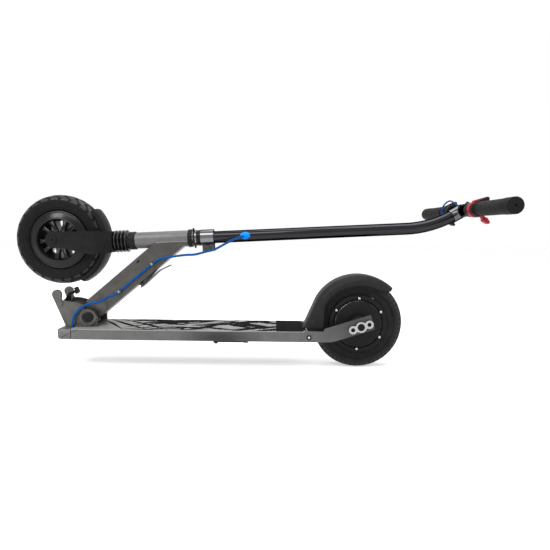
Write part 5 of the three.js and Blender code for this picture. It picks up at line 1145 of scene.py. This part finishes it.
# %% [markdown]
# ## Hood lugs and hinge bolt
# Two lugs hang from the hood and turn on a bolt through the deck's arms. A lug is the shape of a string round
# a large disc and two small ones, so a belt draws it. Shell and lugs are one moulding, so they are one piece.

# %% Hood lugs and bolt
HINGE = (-113, 77)
lug_line = belt([[*HINGE, 7], [-94.5, 99, 2], [-84.5, 99, 2]], 10)
piece("rear_hood_shell", merged(hood_shell, slab_pair(DECK, lug_line, 28.6, 34, 0.5)), hood_plastic,
      "rear_hood", "rear_brake_hood", angle=50)
dressed("hood_hinge_bolt", screw_steel, 0.8)
# Painted shade: a dark ring round each end of the hinge bolt stands for the shade in the recess it sits in.
hinge_recess_shade_ring = rounded(corners(59.6, 60.5, 2.6, 5.5), 0.25)
piece("hinge_bolt_washers", turned_pair(Place(*HINGE), hinge_recess_shade_ring, 32), black_paint, "deck")
print("lug outline:", len(lug_line), "points")

# %% [markdown]
# ## Fork and bellows
# A one-piece fork slides in the head tube, and ribbed bellows hide its spring. The fork is a copy with a
# wide bevel, as a casting has. Bellows could be a stack of rings, but a flattened sine wave gives even ribs
# with soft tops.

# %% Fork and bellows
RIB_FROM, RIB_TO, RIBS, RIB_ROOT, RIB_TOP = -47.7, -15.9, 4, 19.6, 25.0


def bellows_profile(count=97):
    """The radius along the axis: root plus rib height times (a half less half a cosine) to the 0.6. The inner
    wall is the same wave 1.6 mm smaller, at every sixth point."""
    s = np.linspace(RIB_FROM, RIB_TO, count)
    wave = 0.5 - 0.5 * np.cos(2 * np.pi * RIBS * (s - RIB_FROM) / (RIB_TO - RIB_FROM))
    radius = RIB_ROOT + (RIB_TOP - RIB_ROOT) * wave ** 0.6
    end = [[RIB_TO + 0.7, RIB_ROOT - 0.4], [RIB_TO + 0.7, 19.2]]
    return np.vstack([np.column_stack([s, radius]), end, np.column_stack([s, radius - 1.6])[::-6]])


dressed("fork_frame", black_paint, 2.2, angle=40)
bellows = piece("fork_gaiter", turned(STEER, "x", bellows_profile(), 72), gaiter_rubber, "steering",
                "fork_bellows")
ends = STEER([[1, 0, 0], [0, 0, 0]])
tuple(STEER([-15.1, 0, 0])[0])
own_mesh(bellows)
print("bellows ribs:", RIBS)

# %% [markdown]
# ## Front guard
# The front guard is a shallow shell over the wheel, carried by the fork. It is made like the rear hood: a
# grid round the axle whose drop grows with the way across, closed with a second grid inside it.

# %% Front guard
GUARD_FROM, GUARD_TO, GUARD_RADIUS, GUARD_HALF = 37, -64, 108, 25.5


def guard_grid(inward, rows=56, columns=41):
    """Stations round the axle at the radius less a drop: 1.2 mm times the way to 0.6 of the half width to
    the power 2.2, 2.8 mm times the way past that to the power 1.6, and 5.6 mm more at the rim."""
    a = np.radians(np.linspace(GUARD_FROM, GUARD_TO, rows))[:, None]
    v = np.sin(np.linspace(-1, 1, columns) * np.pi / 2)[None, :]
    flank = np.clip((np.abs(v) - 0.6) / 0.36, 0, 1.1)
    drop = 4.0 * (0.3 * np.minimum(np.abs(v) / 0.6, 1) ** 2.2 + 0.7 * flank ** 1.6)
    drop = np.minimum(drop + 5.6 * np.clip((np.abs(v) - 0.96) / 0.04, 0, 1), 9.6)
    r = GUARD_RADIUS - inward - drop
    half = GUARD_HALF - inward * (np.abs(v) > 0.97)
    return np.stack([r * np.cos(a), half * v + 0 * a, r * np.sin(a)], -1)


verts, faces = thick_grid(guard_grid(0.05), guard_grid(2.5))
piece("front_guard", (FRONT_WHEEL(verts), faces, None), black_paint, "fork", "front_mudguard", angle=55)
print("guard from", GUARD_FROM, "to", GUARD_TO, "degrees")

# %% [markdown]
# ## Head tube
# The head tube is round and paler than the neck's box, and a weld bead runs where the two meet. The tube's
# skin is turned 0.06 mm larger than the solid below it. A bead could be a row of small discs, but one swept
# tube whose radius ripples along its length shows the welder's steps as well.

# %% Head tube
HEAD_LENGTH, HEAD_RADIUS, BEAD_RADIUS, BEAD_STEP = 119, 18.25, 1.1, 1.8
tube = rounded(corners(0.2, HEAD_LENGTH - 0.2, 16.3, HEAD_RADIUS + 0.06), 0.6)
piece("head_tube_skin", turned(STEER, "x", tube, 96), tube_paint, "neck")


def bead(points):
    """A weld bead: the radius times 1 + 0.22 |sin(pi length / step)| along a smooth line."""
    path = smooth_line(points, 150)
    ripple = 1 + 0.22 * np.abs(np.sin(length_along(path) * np.pi / BEAD_STEP))
    return swept(STEER, path, BEAD_RADIUS * ripple, 10)


beads = [bead([[118, y, -6.2], [90, y, -6.2], [60, y, -6.2], [47, y * 0.98, -7]]) for y in (-17.2, 17.2)]
beads.append(bead([[46.5, -16.5, -8.5], [45.6, -9, -15.8], [45.4, 0, -18.2], [45.6, 9, -15.8],
                   [46.5, 16.5, -8.5]]))
piece("head_tube_weld", merged(*beads), weld_paint, "neck")
print("weld beads:", len(beads))

# %% [markdown]
# ## Headset
# Pressed cups close the head tube's ends, and above the upper one sit a lock ring with four lugs, a bright
# band and a rubber ring. All are turned round the steering column. The lugs could be cut with a boolean, but
# the lathe can raise the radius over part of the turn.


# %% Headset
def ring_piece(name, profile, finish, body, node=(), sides=96, edge=0.5, depth=None):
    """A profile of (along, radius) with rounded corners, turned round the steering column."""
    return piece(name, turned(STEER, "x", rounded(profile, edge), sides, depth=depth), finish, body, node)


def lock_lugs(along, radius, around):
    """Four square lugs: the radius gains 5.4 mm within 9 degrees of 20 degrees plus any quarter turn."""
    off = np.abs(np.mod(np.degrees(around) - 20 + 45, 90) - 45)
    tall = np.clip((9.0 - off) / 1.2, 0, 1) * (radius > 17.5) * (along < 133.6)
    return 0 * along, tall * 5.4


lower_line = [[-14.7, 15.6], [-14.7, 19.4], [-13.2, 20.2], [-0.3, 20.2], [-0.3, 15.6]]
ring_piece("lower_cup", lower_line, black_plastic, "neck", "lower_headset_cup")
upper_line = [[119.3, 15.6], [119.3, 20.2], [127, 20.2], [128.3, 19.2], [128.3, 15.6]]
ring_piece("upper_cup", upper_line, black_plastic, "neck", "upper_headset_cup")
lock_line = [[130.1, 13.9], [130.1, 18], [133.5, 18], [133.7, 16.8], [138.3, 16.8], [138.3, 13.9]]
ring_piece("lock_ring", lock_line, black_paint, "steering", "headset_lock_ring", sides=240, edge=0.4,
           depth=lock_lugs)
dust_line = [[138.8, 13.9], [138.8, 17.2], [141, 17.2], [141, 18], [146.8, 18], [146.8, 13.9]]
ring_piece("dust_ring", dust_line, rubber, "steering", "headset_dust_ring")
ring_piece("silver_band", corners(133.8, 137.6, 16.6, 17.6), chrome, "steering", edge=0.2)
print("headset from", -14.7, "to", 146.8, "mm along the column")

# %% [markdown]
# ## Clamp collar
# A bright split collar clamps the stem to the steerer. It is a copy of its solid with bevelled edges. Only
# the ear with the bolt is painted, so the faces below a height in the column's place get that finish.

# %% Clamp collar
collar = dressed("clamp_collar", chrome, 0.8)
second_finish(collar, STEER, neck_paint, lambda c: c[:, 2] < -18.6)
dressed("clamp_bolt", neck_paint, 0.4)
print("collar faces:", len(collar.data.polygons))

# %% [markdown]
# ## Stem and handlebar
# The stem is one bent tube in dark polished plating, welded to a cross clamp for the bar. A curve object
# needs handles that are hard to read. A line that is straight, then an arc, then straight has a formula by
# length, and a circle is swept along it. The bar is turned, with rounded ends.


# %% Stem
def stem_path(count=160):
    """Points by length along the tube. The turn is the length past the bend's start over its radius, up to
    27 degrees. The bend adds radius sin(turn) ahead and radius (1 - cos(turn)) aside, then it is straight."""
    arc = BEND_RADIUS * BEND
    tail = (STEM_TOP - BEND_END[0]) / math.cos(BEND) - 13.5
    run = np.linspace(STEM_FOOT + 0.1, BEND_START + arc + tail, count)
    turn = np.clip((run - BEND_START) / BEND_RADIUS, 0, BEND)
    past = np.maximum(run - BEND_START - arc, 0)
    ahead = np.minimum(run, BEND_START) + BEND_RADIUS * np.sin(turn) + past * math.cos(BEND)
    aside = BEND_RADIUS * (1 - np.cos(turn)) + past * math.sin(BEND)
    return np.column_stack([ahead, 0 * ahead, aside])


STEM_RADIUS = 13.6
piece("stem_bent_tube", swept(STEER, stem_path(), STEM_RADIUS, 96), black_chrome, "steering", "stem_tube")
dressed("bar_clamp", clamp_metal, 0.8)
bar_half = rounded([[225.5, 9.2], [225.5, 11], [17.2, 11]], 0.3, closed=False)
piece("handlebar", turned(BAR, "y", mirrored(bar_half), 64), black_chrome, "steering", "handlebar_tube")
print("stem path", stem_path().shape)

# %% [markdown]
# ## Grips
# Each grip is a rubber sleeve with ribs at its inner end and a knurl of small diamonds. A bump map would not
# show on the outline, so the knurl is in the mesh: two families of waves wind round the grip, and where both
# are high the radius is high. By the same waves the tops of the diamonds get a paler rubber, a painted
# highlight.

# %% Grips
GRIP_START, GRIP_FLARE, GRIP_WAIST = 88.3, 190, 14.85


def grip_profile():
    """y and radius of the sleeve. Up to 100 mm the upper halves of four sine waves make ribs of 0.6 mm, then
    comes a long waist, and past the flare the radius grows by 0.45 mm. A small round pocket ends it."""
    y = np.concatenate([np.linspace(GRIP_START, GRIP_FLARE, 170), np.linspace(190.6, 224, 30)])
    ribs = 0.6 * np.clip(np.sin((y - GRIP_START) / 11.7 * np.pi * 8), 0, 1) * (y < 100)
    flared = 15.1 + 0.45 * np.clip((y - GRIP_FLARE) / 6, 0, 1)
    start = [[GRIP_START, 11.2], [GRIP_START, 14.6]]
    sleeve = np.column_stack([y, np.where(y < GRIP_FLARE, GRIP_WAIST + ribs, flared)])
    end = [[225.2, 15.2], [225.8, 14.4], [226, 13], [226, 2.3], [225.4, 2], [223.2, 2], [223.2, 0.01]]
    return np.vstack([start, sleeve, end, [[222.8, 0.01], [222.8, 11.2]]])


def diamonds(around, along):
    """|sin(6 angle + 0.42 y)| times |sin(6 angle - 0.42 y)|: high where both waves are high."""
    return np.abs(np.sin(around * 6 + along * 0.42)) * np.abs(np.sin(around * 6 - along * 0.42))


def knurl(along, radius, around):
    """The radius gains the diamonds less 0.85 mm, between 101 and 188 mm and on the outside only."""
    y = np.abs(along)
    on = np.clip((y - 101) / 2, 0, 1) * np.clip((188 - y) / 2, 0, 1) * (radius > 14)
    return 0 * along, on * (diamonds(around, along) - 0.85)


def highlit_diamond_tops(c):
    """True where the diamonds are over 0.55, between 102 and 187 mm and on the outside."""
    y = np.abs(c[:, 1])
    tops = diamonds(np.arctan2(c[:, 2], c[:, 0]), c[:, 1]) > 0.55
    return tops & (y > 102) & (y < 187) & (np.hypot(c[:, 0], c[:, 2]) > 13)


sleeve = grip_profile()
for side, word in ((-1, "near"), (1, "far")):
    grip = piece("grip_" + word, turned(BAR, "y", sleeve * [side, 1], 240, depth=knurl), grip_rubber,
                 "steering", on_side(side, "grip_left", "grip_right"), angle=50)
    # Painted highlight: the diamonds' tops get a paler rubber.
    second_finish(grip, BAR, grip_diamond_highlight, highlit_diamond_tops)
print("grip profile", len(sleeve), "points")

# %% [markdown]
# ## Thumb controls
# Two housings sit inboard of the grips, each with a lever for the thumb. Housings and far lever keep their
# solids with soft edges. The red lever near the camera is seen best, so it is built anew: a ring turned round
# the bar, and an arm, a leaf for the thumb and a flange, which are belts with wide rounded edges.

# %% Thumb controls
lever_body = next(body for body, nodes in BODIES.items() if "brake_lever" in nodes)
dressed("brake_housing", black_plastic, 0.9)
dressed("throttle_housing", black_plastic, 0.9)
lever_ring = turned(BAR, "y", rounded(corners(-76.5, -64.2, 13.4, 17), 1.2), 72)
lever_arm = slab(BAR, belt([[11.5, -13.5, 3.0], [17.5, -22, 4.2]], 10), -75.5, -65.5, 1.3)
lever_leaf = slab(BAR, belt([[18.4, -22.6, 5.4], [23.6, -28.2, 3.4]], 10), -78.3, -62.3, 2.2)
lever_flange = slab(BAR, belt([[-5, 16.2, 2.4], [4, 17.6, 3.2], [16.5, 20.3, 3.6]], 10), -76.4, -68, 1.2)
piece("red_thumb_lever", merged(lever_ring, lever_arm, lever_leaf, lever_flange), red_plastic, lever_body,
      "brake_lever")
dressed("throttle_lever", black_plastic, 0.8)
dressed("cable_grommet", blue_bright, 1.2)
print("red lever rides on", lever_body)

# %% [markdown]
# ## Kickstand, pins and spring
# These small parts keep their solids, with rounded edges, because nothing more of them can be made out. The
# spring inside the fork gets no bevel. It is 67 mm long, and the fork rises 20 mm.

# %% Kickstand, pins and spring
dressed("kickstand_bracket", black_paint, 0.8)
dressed("kickstand_leg", black_paint)
dressed("latch_pin", neck_paint)
dressed("latch_cross_pin", neck_paint, 0.3)
spring = dressed("suspension_spring", steel, 0)
tuple(STEER([127.4, 0, 0])[0])
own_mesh(spring)
print("spring faces:", len(spring.data.polygons))

# %% [markdown]
# ## Parts inside
# Pack, controller, stator, steerer and bearings are covered by other pieces. A copy of each would add
# nothing, so the solids themselves stay and only get a finish.

# %% Parts inside
INNER = {"battery_pack": pack_film, "motor_controller": alloy, "motor_stator": copper, "steerer_tube": steel,
         "lower_bearing": steel, "upper_bearing": steel, "front_hub_bearings": steel}
for node, finish in INNER.items():
    frame["nodes"][node].data.materials.clear()
    frame["nodes"][node].data.materials.append(finish.mat)
print("parts with their solid's own shape:", len(INNER))

# %% [markdown]
# ## Cable ties
# A pale tie holds the harness at each clip. A whole strap could be swept round the jacket, but what shows is
# the block of its head beside the jacket, and a small plate is enough for that.

# %% Cable ties
tie_line = rounded(corners(-2.2, 2.2, -2.6, 2.6), 0.6)
for k, u in enumerate(CLIPS):
    piece("cable_tie_%d" % (k + 1), slab(NECK.inner(u, 0), tie_line, -26.6, -23.6, 0.4), clear_tie, "neck")
print("cable ties:", len(CLIPS))
